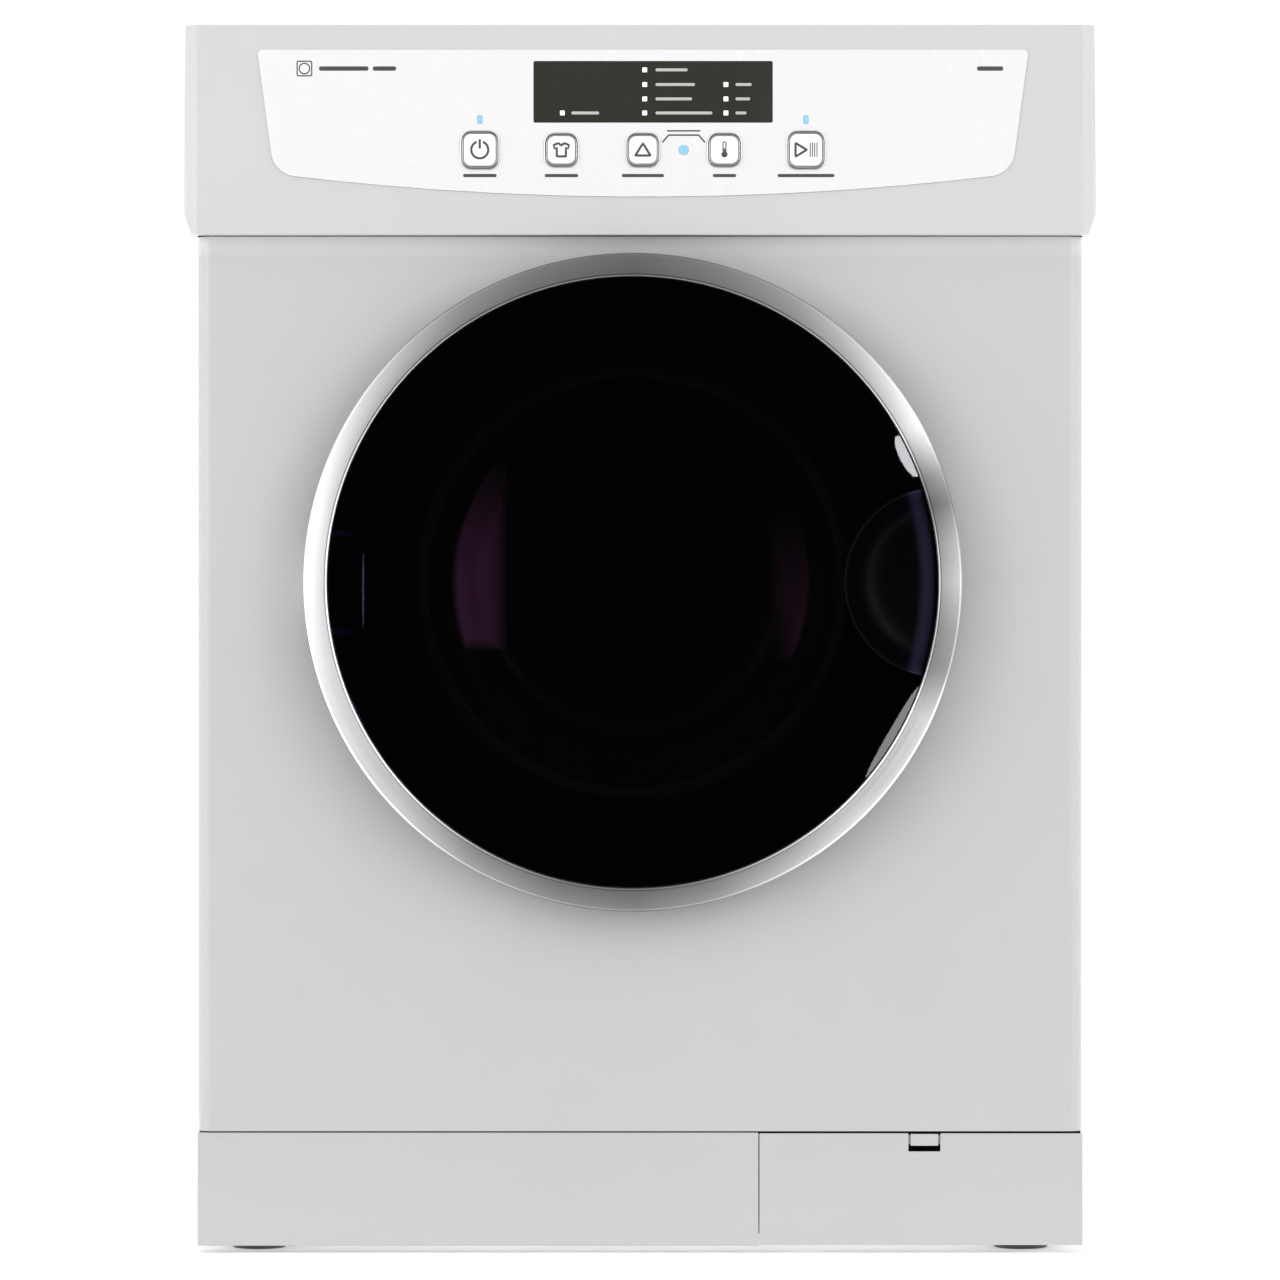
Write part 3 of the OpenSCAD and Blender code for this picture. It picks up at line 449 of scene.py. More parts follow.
def finished(obj, material, body, stands_for=()):
    """Gives a new piece its material and body, and hides the CAD nodes that it stands for."""
    obj.data.materials.clear()
    obj.data.materials.append(material)
    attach(obj, body)
    if stands_for:
        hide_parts(*stands_for)
    return obj


def new_object(name, mesh):
    obj = bpy.data.objects.new(name, mesh)
    bpy.context.scene.collection.objects.link(obj)
    return obj


def evaluated_mesh(obj):
    """Mesh of an object with its modifiers, or of a curve with its fill and bevel."""
    return bpy.data.meshes.new_from_object(obj.evaluated_get(bpy.context.evaluated_depsgraph_get()))


def new_curve(name, dimensions, bevel, bevel_steps, lines):
    """Curve with round edges, from lines of (places, closed)."""
    curve = bpy.data.curves.new(name, "CURVE")
    curve.dimensions = dimensions
    curve.bevel_depth = bevel
    curve.bevel_resolution = bevel_steps
    for places, closed in lines:
        spline = curve.splines.new("POLY")
        spline.points.add(len(places) - 1)
        for point, place in zip(spline.points, places):
            point.co = (*place, 1)
        spline.use_cyclic_u = closed
    return curve


def curve_mesh(curve):
    temp = new_object("curve", curve)
    mesh = evaluated_mesh(temp)
    bpy.data.objects.remove(temp)
    return mesh


def join_doubles(mesh):
    bm = bmesh.new()
    bm.from_mesh(mesh)
    bmesh.ops.remove_doubles(bm, verts=bm.verts, dist=SAME_PLACE)
    bm.to_mesh(mesh)
    bm.free()


def smooth(mesh, degrees=35):
    """Smooth shading that keeps real corners sharp."""
    bm = bmesh.new()
    bm.from_mesh(mesh)
    bmesh.ops.recalc_face_normals(bm, faces=bm.faces)
    limit = math.radians(degrees)
    for face in bm.faces:
        face.smooth = True
    for edge in bm.edges:
        edge.smooth = len(edge.link_faces) == 2 and edge.calc_face_angle(0) < limit
    bm.to_mesh(mesh)
    bm.free()


def refine(node, round_by):
    """Rebuilds a CAD node with its flat faces joined and its real corners rounded."""
    mesh = frame["nodes"][node].data.copy()
    mesh.name = node + "_refined"
    bm = bmesh.new()
    bm.from_mesh(mesh)
    bmesh.ops.remove_doubles(bm, verts=bm.verts, dist=SAME_PLACE)
    bmesh.ops.dissolve_limit(bm, angle_limit=math.radians(FLAT_DEGREES), verts=bm.verts, edges=bm.edges,
                             use_dissolve_boundaries=False)
    bm.normal_update()
    sharp = [e for e in bm.edges
             if len(e.link_faces) == 2 and e.calc_face_angle(0) > math.radians(CORNER_DEGREES)]
    bmesh.ops.bevel(bm, geom=sharp, offset=round_by, segments=3, profile=0.5,
                    affect="EDGES", clamp_overlap=True)
    bmesh.ops.triangulate(bm, faces=[f for f in bm.faces if len(f.verts) > 4])
    bm.to_mesh(mesh)
    bm.free()
    obj = new_object(node + "_piece", mesh)
    smooth(mesh)
    slot = SLOT_OF[node]
    finished(obj, OWN_FINISH.get(node, MATERIALS[slot]), BODY_OF[node], [node])
    weighted = obj.modifiers.new("weighted", "WEIGHTED_NORMAL")
    weighted.keep_sharp = True
    weighted.weight = 80


def arc(cx, cz, r, start, end, steps):
    """Points of an arc, angles in degrees."""
    angles = [math.radians(start + (end - start) * i / steps) for i in range(steps + 1)]
    return [(cx + r * math.cos(angle), cz + r * math.sin(angle)) for angle in angles]


def rounded(cx, cz, w, h, r, steps=12):
    """Outline of a rectangle with round corners."""
    points = []
    for sx, sz, start in ((1, 1, 0), (-1, 1, 90), (-1, -1, 180), (1, -1, 270)):
        points += arc(cx + sx * (w / 2 - r), cz + sz * (h / 2 - r), r, start, start + 90, steps)
    return points


def plate(name, outlines, y_front, y_back, round_by, steps=3):
    """Plate that faces the front, cut from outlines, the first one being the outer edge."""
    lines = [([(x, z, 0) for x, z in outline], True) for outline in outlines]
    curve = new_curve(name, "2D", round_by, steps, lines)
    curve.fill_mode = "BOTH"
    curve.offset = -round_by
    curve.extrude = (y_back - y_front) / 2 - round_by
    mesh = curve_mesh(curve)
    upright = Matrix.Rotation(math.pi / 2, 4, "X")
    mesh.transform(Matrix.Translation((0, (y_front + y_back) / 2, 0)) @ upright)
    join_doubles(mesh)
    smooth(mesh, 40)
    return new_object(name, mesh)


def printed_bar(name, x, z, w, h, r, material=PRINT_DARK, y=FASCIA_Y, proud=0.08 * MM):
    """Flat printed bar with round ends, on a face at y."""
    bar = plate(name, [rounded(x, z, w, h, r)], y - proud, y + 0.1 * MM, 0.02 * MM, 1)
    finished(bar, material, "cabinet")


def with_shoulders(corners, closed, reach):
    """The same line with a point each side of every corner, so that a tube along it keeps its width."""
    points = []
    pairs = list(zip(corners, corners[1:] + corners[:1]))
    for (x0, z0), (x1, z1) in pairs if closed else pairs[:-1]:
        points.append((x0, z0))
        length = math.hypot(x1 - x0, z1 - z0)
        if length > 3 * reach:
            share = reach / length
            points += [(x0 + (x1 - x0) * share, z0 + (z1 - z0) * share),
                       (x1 + (x0 - x1) * share, z1 + (z0 - z1) * share)]
    return points if closed else points + [corners[-1]]


STROKE_HEIGHT = 0.25


def strokes(name, lines, y, width):
    """Thin raised lines on a face that looks forwards; each line is (points, closed, times the width)."""
    placed = []
    for corners, closed, times in lines:
        points = with_shoulders(corners, closed, width * times / 2)
        placed.append(([(x, 0, z) for x, z in points], closed))
    curve = new_curve(name, "3D", width / 2, 2, placed)
    curve.use_fill_caps = True
    for spline, (_, _, times) in zip(curve.splines, lines):
        for point in spline.points:
            point.radius = times
    mesh = curve_mesh(curve)
    mesh.transform(Matrix.Translation((0, y, 0)) @ Matrix.Diagonal((1, STROKE_HEIGHT, 1, 1)))
    smooth(mesh, 60)
    return new_object(name, mesh)


def revolve(name, profile, steps=192, closed=True):
    """Turns a profile of (radius, height in front of the face) round the door axis."""
    bm = bmesh.new()
    rings = []
    for r, h in profile:
        angles = [2 * math.pi * i / steps for i in range(steps)] if r > SAME_PLACE else [0]
        rings.append([bm.verts.new((AXIS_X + r * math.cos(angle), FACE_Y - h, AXIS_Z + r * math.sin(angle)))
                      for angle in angles])
    pairs = list(zip(rings, rings[1:]))
    if closed:
        pairs.append((rings[-1], rings[0]))
    for a, b in pairs:
        for i in range(steps):
            j = (i + 1) % steps
            corners = [a[i % len(a)], a[j % len(a)], b[j % len(b)], b[i % len(b)]]
            bm.faces.new(list(dict.fromkeys(corners)))
    mesh = bpy.data.meshes.new(name)
    bm.to_mesh(mesh)
    bm.free()
    smooth(mesh, 30)
    return new_object(name, mesh)


def softened(profile, radius, steps):
    """Rounds the corners of a closed profile."""
    points = []
    count = len(profile)
    for i, here in enumerate(profile):
        before, after = Vector(profile[i - 1]), Vector(profile[(i + 1) % count])
        corner = Vector(here)
        to_before, to_after = before - corner, after - corner
        cut = min(radius, to_before.length * 0.45, to_after.length * 0.45)
        start = corner + to_before.normalized() * cut
        end = corner + to_after.normalized() * cut
        for k in range(steps + 1):
            t = k / steps
            points.append(tuple(start * (1 - t) ** 2 + corner * 2 * t * (1 - t) + end * t**2))
    return points


def dome_h(r):
    """Height of the dome's outer surface at radius r from the door axis."""
    return DOME_H - DOME_R + math.sqrt(DOME_R**2 - r**2)


# ---------------------------------------------------------------- cabinet and console

for node, radius in (
    ("front_panel", 0.3),
    ("side_panel_left", 0.35),
    ("side_panel_right", 0.35),
    ("rear_panel", 0.35),
    ("top_panel", 1.2),
    ("console_housing", 1.6),
    ("console_fascia", 0.35),
    ("plinth_panel", 0.8),
    ("service_flap", 0.6),
    ("flap_latch", 0.5),
    ("base_pan", 0.4),
    ("cord_gland", 0.6),
    ("rear_screws", 0.3),
    ("exhaust_duct", 0.5),
    ("hinge_bracket", 0.3),
    ("door_hinge_leaf", 0.4),
    ("door_strike", 0.4),
    ("door_frame", 0.5),
    ("front_bulkhead", 0.4),
    ("foot_front_left", 0.6),
    ("foot_front_right", 0.6),
    ("foot_rear_left", 0.6),
    ("foot_rear_right", 0.6),
    ("drum_lifters", 2.0),
    ("filter_cover", 0.4),
):
    refine(node, radius * MM)


# ---------------------------------------------------------------- controls

BUTTONS = ("power", "refresh", "programs", "temp", "start")
SKIRT_W = 1.5 * MM
SKIRT_BACK = 1.5 * MM


def square_of(node):
    """Centre and side of a CAD push button's cap, without its skirt."""
    low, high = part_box(node)
    return (low.x + high.x) / 2, (low.z + high.z) / 2, high.x - low.x - 2 * SKIRT_W


def power_icon(x, z, s):
    r = s * 0.265
    ring = arc(x, z, r, 112, 428, 40)
    return [(ring, False, 1), ([(x, z + r * 0.15), (x, z + r * 1.25)], False, 1)]


def shirt_icon(x, z, s):
    k = s * 0.25
    half = [(0.3, 0.92), (0.62, 0.9), (1.12, 0.66), (0.98, 0.2), (0.66, 0.28), (0.66, -0.95)]
    neck = arc(0, 0.98, 0.3, 345, 195, 8)
    points = [(x + a * k, z + b * k) for a, b in half[::-1]]
    points += [(x + a * k, z + b * k) for a, b in neck]
    points += [(x - a * k, z + b * k) for a, b in half]
    return [(points, True, 1)]


def triangle_icon(x, z, s):
    k = s * 0.275
    return [([(x - k, z - k * 0.75), (x + k, z - k * 0.75), (x, z + k * 0.85)], True, 1)]


def thermometer_icon(x, z, s):
    k = s * 0.27
    bulb = arc(x, z - k * 0.6, k * 0.34, 125, 415, 20)
    stem = arc(x, z + k * 0.85, k * 0.2, 0, 180, 8)
    return [(bulb + stem, True, 0.5), ([(x, z - k * 0.6), (x, z + k * 0.2)], False, 0.7),
            (arc(x, z - k * 0.6, k * 0.16, 0, 330, 12), True, 1.2)]


def play_icon(x, z, s):
    k = s * 0.235
    bars = [([(x + k * place, z - k * 0.95), (x + k * place, z + k * 0.95)], False, 0.45)
            for place in (0.55, 0.85, 1.15, 1.45)]
    arrow = [(x - k * 1.4, z - k * 0.9), (x - k * 1.4, z + k * 0.9), (x + k * 0.1, z)]
    return [(arrow, True, 1)] + bars


ICONS = dict(zip(BUTTONS, (power_icon, shirt_icon, triangle_icon, thermometer_icon, play_icon)))
LABEL_W = {"power": 23, "refresh": 23, "programs": 29, "temp": 16, "start": 39}
LABEL_DROP = 17.5 * MM
CAP_ROUND = 0.9 * MM
CORNER = 5 * MM
BEZEL_W = 2.5 * MM
BEZEL_GAP = 0.4 * MM
BOARD_GAP = 0.1 * MM

for label in BUTTONS:
    node = "button_" + label
    low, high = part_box(node)
    x, z, side = square_of(node)
    cap_back = high.y - SKIRT_BACK
    cap = plate(node + "_cap", [rounded(x, z, side, side, CORNER)], low.y, cap_back, CAP_ROUND, 5)
    finished(cap, MATERIALS["button_white"], node, [node])
    skirt_side = side + 2 * SKIRT_W
    skirt = plate(node + "_skirt", [rounded(x, z, skirt_side, skirt_side, CORNER)],
                  cap_back, high.y - BOARD_GAP, 0.3 * MM)
    finished(skirt, MATERIALS["button_white"], node)
    icon = strokes(node + "_icon", ICONS[label](x, z, side), low.y, 1.6 * MM)
    finished(icon, PRINT_DARK, node)
    outer = side + 2 * BEZEL_W
    inner = side + 2 * BEZEL_GAP
    bezel_low, bezel_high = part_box("button_bezels")
    ring = plate("bezel_" + label,
                 [rounded(x, z, outer, outer, 7.4 * MM, 16), rounded(x, z, inner, inner, 5.4 * MM, 16)],
                 bezel_low.y, bezel_high.y, 0.8 * MM, 5)
    finished(ring, MATERIALS["chrome_trim"], "cabinet",
             ["button_bezels"] if label == "power" else ())
    printed_bar("label_bar_" + label, x, z - LABEL_DROP, LABEL_W[label] * MM, 2.2 * MM, 1 * MM)

# Bracket line over the round lamp that the third and fourth buttons share
x3, z3, side3 = square_of("button_programs")
x4, _, _ = square_of("button_temp")
lamp_x = (x3 + x4) / 2
top_z = z3 + side3 / 2 + 0.8 * MM
end_z = top_z - 5 * MM
end_dx = 14.6 * MM
top_dx = 10.3 * MM
corners = [(lamp_x - end_dx, end_z), (lamp_x - top_dx, top_z),
           (lamp_x + top_dx, top_z), (lamp_x + end_dx, end_z)]
bracket = strokes("pair_bracket", [(corners, False, 1)], FASCIA_Y, 1.1 * MM)
printed_bar("label_bar_pair", lamp_x, top_z + 2.9 * MM, 23 * MM, 1 * MM, 0.4 * MM)
finished(bracket, PRINT_DARK, "cabinet")

# Plain tumble-drying mark and bars where a maker's lettering would be
fascia_low, fascia_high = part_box("console_fascia")
mark_x = fascia_low.x + 32 * MM
mark_z = fascia_high.z - 13 * MM
mark = strokes("drying_mark", [(rounded(mark_x, mark_z, 10 * MM, 10 * MM, 1 * MM, 4), True, 1),
                               (arc(mark_x, mark_z, 3.6 * MM, 0, 350, 35), True, 1)], FASCIA_Y, 0.9 * MM)
finished(mark, PRINT_DARK, "cabinet")
FASCIA_BARS = ((mark_x + 27 * MM, 34), (mark_x + 55 * MM, 16), (fascia_high.x - 26 * MM, 18))
for k, (bar_x, bar_w) in enumerate(FASCIA_BARS):
    printed_bar(f"fascia_bar_{k}", bar_x, mark_z, bar_w * MM, 3 * MM, 1.3 * MM)

# Display window with its square lamps and plain bars in place of words
win_low, win_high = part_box("display_window")
WIN_W = win_high.x - win_low.x
WIN_H = win_high.z - win_low.z
window_outline = rounded((win_low.x + win_high.x) / 2, (win_low.z + win_high.z) / 2, WIN_W, WIN_H, 1 * MM, 6)
window = plate("display_window_piece", [window_outline], win_low.y, win_high.y, 0.15 * MM)
finished(window, MATERIALS["display_dark"], "cabinet", ["display_window"])
# Rows as shares of the window's height; each column has its share of the width, the step from lamp
# to bar in mm, and the length in mm of each row's bar
ROWS = (0.86, 0.62, 0.385, 0.155)
COLUMNS = (
    (0.12, 6.2, {3: 19}),
    (0.465, 7.4, {0: 22, 1: 27, 2: 25, 3: 39}),
    (0.805, 6.6, {1: 11, 2: 10, 3: 7.5}),
)
for column, (share, step, bars) in enumerate(COLUMNS):
    for row, bar in bars.items():
        x = win_low.x + WIN_W * share
        z = win_low.z + WIN_H * ROWS[row]
        square = plate(f"display_lamp_{column}_{row}", [rounded(x, z, 3.2 * MM, 3.2 * MM, 0.3 * MM, 4)],
                       win_low.y - 0.12 * MM, win_low.y + 0.2 * MM, 0.05 * MM, 1)
        finished(square, LAMP_WHITE, "cabinet")
        bar_x = x + step * MM + bar * MM / 2
        printed_bar(f"display_bar_{column}_{row}", bar_x, z, bar * MM, 2 * MM, 0.9 * MM,
                    PRINT_PALE, win_low.y, 0.04 * MM)

lens_low, lens_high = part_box("indicator_lenses")
lens_z = lens_high.z - 3 * MM
for name, outline in (
    ("lamp_over_power", rounded(square_of("button_power")[0], lens_z, 3.4 * MM, 6 * MM, 1.5 * MM, 8)),
    ("lamp_over_start", rounded(square_of("button_start")[0], lens_z, 3.4 * MM, 6 * MM, 1.5 * MM, 8)),
    ("lamp_between", arc(lamp_x, z3, 3.4 * MM, 0, 352, 44)),
):
    lens = plate(name, [outline], lens_low.y, lens_high.y, 0.3 * MM)
    finished(lens, MATERIALS["lamp_blue"], "cabinet",
             ["indicator_lenses"] if name == "lamp_over_power" else ())


# ---------------------------------------------------------------- door

RING_BACK = 28 * MM
RING_FRONT = 36 * MM
GLASS_EDGE_R = GLASS_R - 0.2 * MM
GLASS_THICK = 3.9 * MM

ring_profile = [(GLASS_R, RING_BACK), (RING_R, RING_BACK), (RING_R, RING_FRONT - 5.2 * MM),
                (RING_R - 1.2 * MM, RING_FRONT - 3.6 * MM), (GLASS_R + 1.5 * MM, RING_FRONT),
                (GLASS_R, RING_FRONT - 1.2 * MM)]
ring = revolve("door_ring_piece", softened(ring_profile, 0.8 * MM, 5), 256)
finished(ring, MATERIALS["door_trim"], "door", ["door_ring"])


def glass_sheet():
    """Dome of even thickness, scooped away round the grip."""
    rings = 64
    radii = [GLASS_EDGE_R * i / rings for i in range(rings + 1)]
    outer = [(r, dome_h(r)) for r in radii]
    inner = [(r, h - GLASS_THICK) for r, h in reversed(outer)]
    dome = revolve("door_glass_piece", outer + inner, 256, closed=False)
    cutter_mesh = bpy.data.meshes.new("cutter")
    bm = bmesh.new()
    bmesh.ops.create_cone(bm, cap_ends=True, segments=160, radius1=GRIP_R, radius2=GRIP_R, depth=0.2)
    bm.to_mesh(cutter_mesh)
    bm.free()
    forwards = Matrix.Rotation(math.pi / 2, 4, "X")
    cutter_mesh.transform(Matrix.Translation((AXIS_X + GLASS_R, FACE_Y, AXIS_Z)) @ forwards)
    cutter = new_object("cutter", cutter_mesh)
    cut = dome.modifiers.new("grip", "BOOLEAN")
    cut.object = cutter
    cut.operation = "DIFFERENCE"
    cut.solver = "EXACT"
    mesh = evaluated_mesh(dome)
    dome.modifiers.clear()
    dome.data = mesh
    bpy.data.objects.remove(cutter)
    join_doubles(mesh)
    smooth(mesh, 30)
    return dome


finished(glass_sheet(), MATERIALS["door_glass"], "door", ["door_glass"])


def grip_limit(angle):
    """Reach of the cup from the grip's centre in a direction, up to the frame's wall."""
    wall = RING_R - 7 * MM
    along = GLASS_R * math.cos(angle)
    to_wall = -along + math.sqrt(along**2 + wall**2 - GLASS_R**2)
    return min(GRIP_R - 0.6 * MM, to_wall)


def grip_cup():
    """Scooped cup: a flat floor that sweeps up to the dome, and a pocket under the ring."""
    floor_h = 9.5 * MM
    under_ring = RING_BACK - 0.4 * MM
    under_glass = 0.5 * MM
    steepness = 7
    turns, rings = 128, 26
    bm = bmesh.new()
    centre = bm.verts.new((AXIS_X + GLASS_R, FACE_Y - floor_h, AXIS_Z))
    rows = []
    for k in range(1, rings + 1):
        share = k / rings
        row = []
        for i in range(turns):
            angle = 2 * math.pi * i / turns
            limit = grip_limit(angle)
            x = GLASS_R + limit * share * math.cos(angle)
            z = limit * share * math.sin(angle)
            rim_r = math.hypot(GLASS_R + limit * math.cos(angle), limit * math.sin(angle))
            rim = dome_h(rim_r) - under_glass if rim_r < GLASS_R - 1 * MM else under_ring
            height = floor_h + (rim - floor_h) * share**steepness
            row.append(bm.verts.new((AXIS_X + x, FACE_Y - height, AXIS_Z + z)))
        rows.append(row)
    for i in range(turns):
        bm.faces.new((centre, rows[0][i], rows[0][(i + 1) % turns]))
    for a, b in zip(rows, rows[1:]):
        for i in range(turns):
            j = (i + 1) % turns
            bm.faces.new((a[i], b[i], b[j], a[j]))
    mesh = bpy.data.meshes.new("door_grip_piece")
    bm.to_mesh(mesh)
    bm.free()
    cup = new_object("door_grip_piece", mesh)
    skin = cup.modifiers.new("skin", "SOLIDIFY")
    skin.thickness = 1.2 * MM
    skin.offset = 0
    solid = evaluated_mesh(cup)
    cup.modifiers.clear()
    cup.data = solid
    smooth(solid, 50)
    return cup


finished(grip_cup(), MATERIALS["grip_plastic"], "door", ["door_grip"])


def grip_lip():
    """Thin rounded bead where the glass is cut away."""
    edge = GLASS_EDGE_R
    # Half angles, at the door axis and at the grip's centre, to where the cut meets the glass's edge
    at_axis = math.acos((edge**2 + GLASS_R**2 - GRIP_R**2) / (2 * edge * GLASS_R))
    half = math.asin(math.sin(at_axis) * edge / GRIP_R)
    inset = 0.02
    steps = 72
    places = []
    for i in range(steps + 1):
        angle = math.pi - half + inset + 2 * (half - inset) * i / steps
        x, z = GLASS_R + GRIP_R * math.cos(angle), GRIP_R * math.sin(angle)
        r = math.hypot(x, z)
        if r < GLASS_R - 0.3 * MM:
            places.append((AXIS_X + x, FACE_Y - dome_h(r) + 0.5 * MM, AXIS_Z + z))
    curve = new_curve("grip_lip", "3D", 0.8 * MM, 3, [(places, False)])
    curve.use_fill_caps = True
    mesh = curve_mesh(curve)
    smooth(mesh, 60)
    return new_object("door_grip_lip", mesh)


finished(grip_lip(), MATERIALS["grip_plastic"], "door")

# Profiles in mm of radius and of height in front of the face
BOWL = ((0, -122), (60, -120.4), (95, -117.6), (106, -115.6), (112, -112), (116, -105.5), (138, 3), (138, 6),
        (140.8, 6), (140.8, 8), (134, 8), (112.5, -101), (109.5, -107), (104, -111), (94, -113.4),
        (60, -116.4), (0, -118))
GASKET = ((176.3, 0.5), (179.3, 0.5), (180.5, 1.3), (181.7, 0.5), (184.7, 0.5), (184.7, 2.95), (176.3, 2.95))

bowl = revolve("door_bowl_piece", [(r * MM, h * MM) for r, h in BOWL], closed=False)
finished(bowl, MATERIALS["bowl_glass"], "door", ["door_bowl"])

gasket = revolve("door_gasket_piece", softened([(r * MM, h * MM) for r, h in GASKET], 0.5 * MM, 3))
finished(gasket, MATERIALS["black_rubber"], "door", ["door_gasket"])


# ------------------------------------------------------- everything else keeps its CAD shape

for node, obj in frame["nodes"].items():
    if obj.hide_render:
        continue
    obj.data.materials.clear()
    obj.data.materials.append(MATERIALS[SLOT_OF[node]])


# ---------------------------------------------------------------- stage, light and camera

CAMERA_DISTANCE = 4.2
FLOOR_HALF = 30
CAMERA_GLOW = 0.3
MIRROR_GLOW = 1.3


def stage_floor():
    """Pale floor that the glass and metal mirror as dark, except at the sides and close to the front."""
    bm = bmesh.new()
    bmesh.ops.create_grid(bm, x_segments=1, y_segments=1, size=FLOOR_HALF)
    mesh = bpy.data.meshes.new("floor")
    bm.to_mesh(mesh)
    bm.free()
    floor = new_object("floor", mesh)
    m = Nodes("floor_pale")
    rays = m.add("ShaderNodeLightPath").outputs
    pale = m.ramp(m.noise(0.6, 3), [(0.3, (0.92, 0.92, 0.92)), (0.7, (0.94, 0.94, 0.94))])
    split = m.parts(m.coords)
    near = m.spread(split["Y"], 0, 1, -0.85, -0.5)
    reach = m.spread(split["Y"], FLOOR_HALF, 0.05, -FLOOR_HALF, -0.05)
    slant = m.math("DIVIDE", m.math("ABSOLUTE", split["X"]), reach)
    clear = m.math("MAXIMUM", near, m.spread(slant, 0, 1, 0.75, 1.2))
    mirrored = m.ramp(clear, [(0, (0.02, 0.02, 0.02)), (1, (0.9, 0.9, 0.9))])
    m.link(m.mix(rays["Is Glossy Ray"], pale, mirrored), m.shader.inputs["Base Color"])
    m.set(Roughness=0.9, Specular_IOR_Level=0.0, Emission_Color=(1, 1, 1, 1))
    glow = m.math("MULTIPLY", rays["Is Camera Ray"], CAMERA_GLOW)
    shine = m.math("MULTIPLY", rays["Is Glossy Ray"], m.spread(clear, 0, MIRROR_GLOW, 0, 1))
    m.link(m.math("ADD", glow, shine), m.shader.inputs["Emission Strength"])
    floor.data.materials.append(m.material)
    floor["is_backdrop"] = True


def area_light(name, place, target, size, watts, size_y, roll=0, color=(1, 1, 1), shape="RECTANGLE"):
    """Lamp at a place, aimed at a target and turned by roll degrees."""
    light = bpy.data.lights.new(name, "AREA")
    light.energy = watts
    light.color = color
    light.shape = shape
    light.size = size
    light.size_y = size_y
    obj = bpy.data.objects.new(name, light)
    bpy.context.scene.collection.objects.link(obj)
    obj.location = place
    aim = (Vector(target) - Vector(place)).to_track_quat("-Z", "Y").to_matrix().to_4x4()
    obj.rotation_euler = (aim @ Matrix.Rotation(math.radians(roll), 4, "Z")).to_euler()
    obj.visible_camera = False


def mirrored_lamp(name, reach, angle, distance, size, size_y, watts, color=(1, 1, 1)):
    """Lamp that mirrors at a radius and angle on the dome, long side along the ring."""
    slope = 2 * math.asin(reach / DOME_R) + math.atan(reach / CAMERA_DISTANCE)
    turn = math.radians(angle)
    across, up = math.cos(turn), math.sin(turn)
    mark = Vector((AXIS_X + reach * across, FACE_Y - dome_h(reach), AXIS_Z + reach * up))
    away = Vector((math.sin(slope) * across, -math.cos(slope), math.sin(slope) * up))
    area_light(name, mark + away * distance, mark, size, watts, size_y, angle, color, "ELLIPSE")


WORLD_LEVEL = 0.57
SIDE_LEVEL = 0.5
AHEAD_LEVEL = 0.5
MIRROR_LEVEL = 0.74
MIRROR_SIDES = 2.3


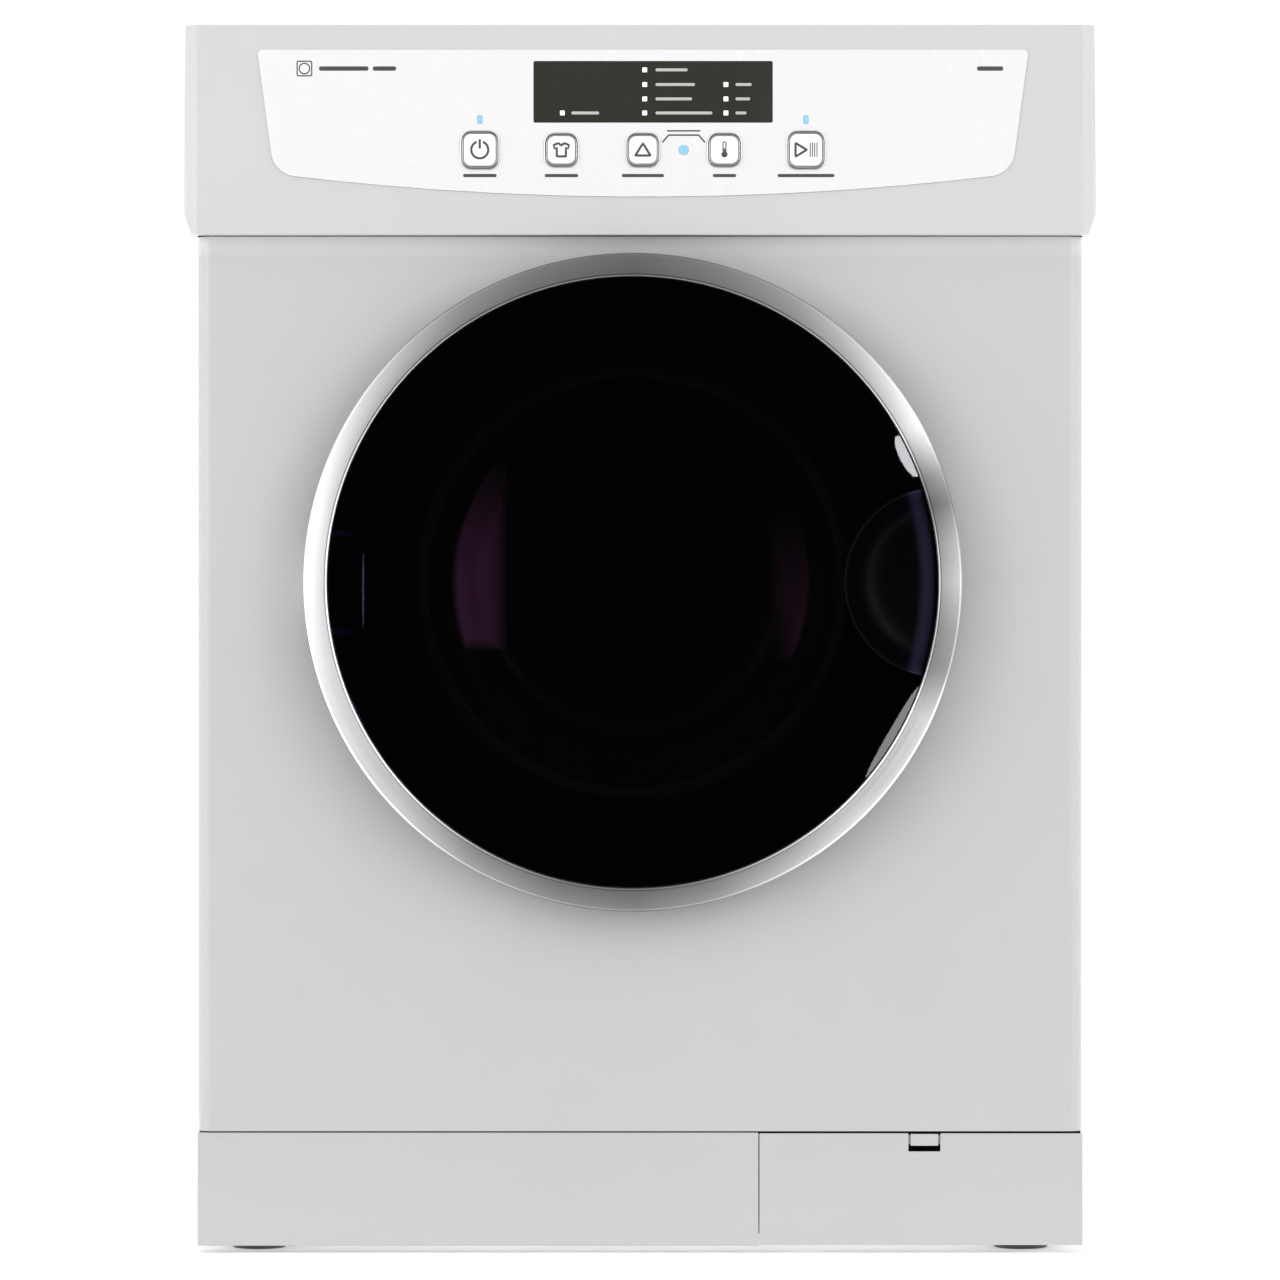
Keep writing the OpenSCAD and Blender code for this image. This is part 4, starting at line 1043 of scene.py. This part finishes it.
def studio_world():
    """White surroundings, brighter ahead and to the sides, mirrored with a dark bay in front."""
    world = bpy.data.worlds.new("studio")
    world.use_nodes = True
    tree = world.node_tree

    def math_of(operation, first, second=None):
        return math_node(tree, operation, first, second)

    split = tree.nodes.new("ShaderNodeSeparateXYZ")
    tree.links.new(tree.nodes.new("ShaderNodeTexCoord").outputs["Generated"], split.inputs[0])
    sideways = math_of("MULTIPLY", math_of("ABSOLUTE", split.outputs["X"]), SIDE_LEVEL)
    forwards = math_of("MAXIMUM", math_of("MULTIPLY", split.outputs["Y"], -1.0), 0.0)
    ahead = math_of("MULTIPLY", forwards, AHEAD_LEVEL)
    bay = tree.nodes.new("ShaderNodeMapRange")
    bay.interpolation_type = "SMOOTHSTEP"
    for key, value in (("From Min", -0.95), ("From Max", -0.72), ("To Min", 0.02), ("To Max", 1.0)):
        bay.inputs[key].default_value = value
    tree.links.new(split.outputs["Y"], bay.inputs["Value"])
    rays = tree.nodes.new("ShaderNodeLightPath").outputs
    diffuse = rays["Is Diffuse Ray"]
    flanks = math_of("ADD", math_of("MULTIPLY", sideways, MIRROR_SIDES), MIRROR_LEVEL)
    mirrored = math_of("MULTIPLY", flanks, bay.outputs["Result"])
    level = math_of("ADD", math_of("ADD", sideways, WORLD_LEVEL), ahead)
    lit = math_of("ADD", math_of("MULTIPLY", level, diffuse),
                  math_of("MULTIPLY", mirrored, math_of("SUBTRACT", 1.0, diffuse)))
    background = tree.nodes["Background"]
    background.inputs["Color"].default_value = (1, 1, 1, 1)
    tree.links.new(math_of("MAXIMUM", lit, rays["Is Camera Ray"]), background.inputs["Strength"])
    bpy.context.scene.world = world


def stage_lights():
    studio_world()
    target = (0, FACE_Y, 0.45)
    area_light("left_box", (-2.5, -2.6, 1.45), target, 1.2, 19, 2.6)
    area_light("right_box", (2.3, -2.7, 1.7), target, 1.1, 14, 2.0)
    mirrored_lamp("upper_lamp", 208 * MM, 26, 3.0, 0.055, 0.17, 0.4)
    mirrored_lamp("lower_lamp", 203 * MM, -29, 1.2, 0.014, 0.22, 0.05)
    mirrored_lamp("left_tube", 185 * MM, 180, 3.2, 0.006, 0.3, 0.012, (0.55, 0.4, 1.0))
    bpy.context.scene.view_settings.view_transform = "Standard"


SENSOR_MM = 36
OBJECT_SHARE = 1230 / 1280


def stage_camera():
    """Straight front view in which the machine takes up OBJECT_SHARE of the picture's height."""
    camera = bpy.data.cameras.new("camera")
    camera.sensor_width = SENSOR_MM
    view_tall = (cad_high.z - cad_low.z) / OBJECT_SHARE
    camera.lens = SENSOR_MM * CAMERA_DISTANCE / view_tall
    camera.clip_end = 60
    obj = bpy.data.objects.new("camera", camera)
    bpy.context.scene.collection.objects.link(obj)
    obj.location = (0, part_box("console_housing")[0].y - CAMERA_DISTANCE, (cad_high.z + cad_low.z) / 2)
    obj.rotation_euler = (math.pi / 2, 0, 0)
    bpy.context.scene.camera = obj


stage_floor()
stage_lights()
stage_camera()

low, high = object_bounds()
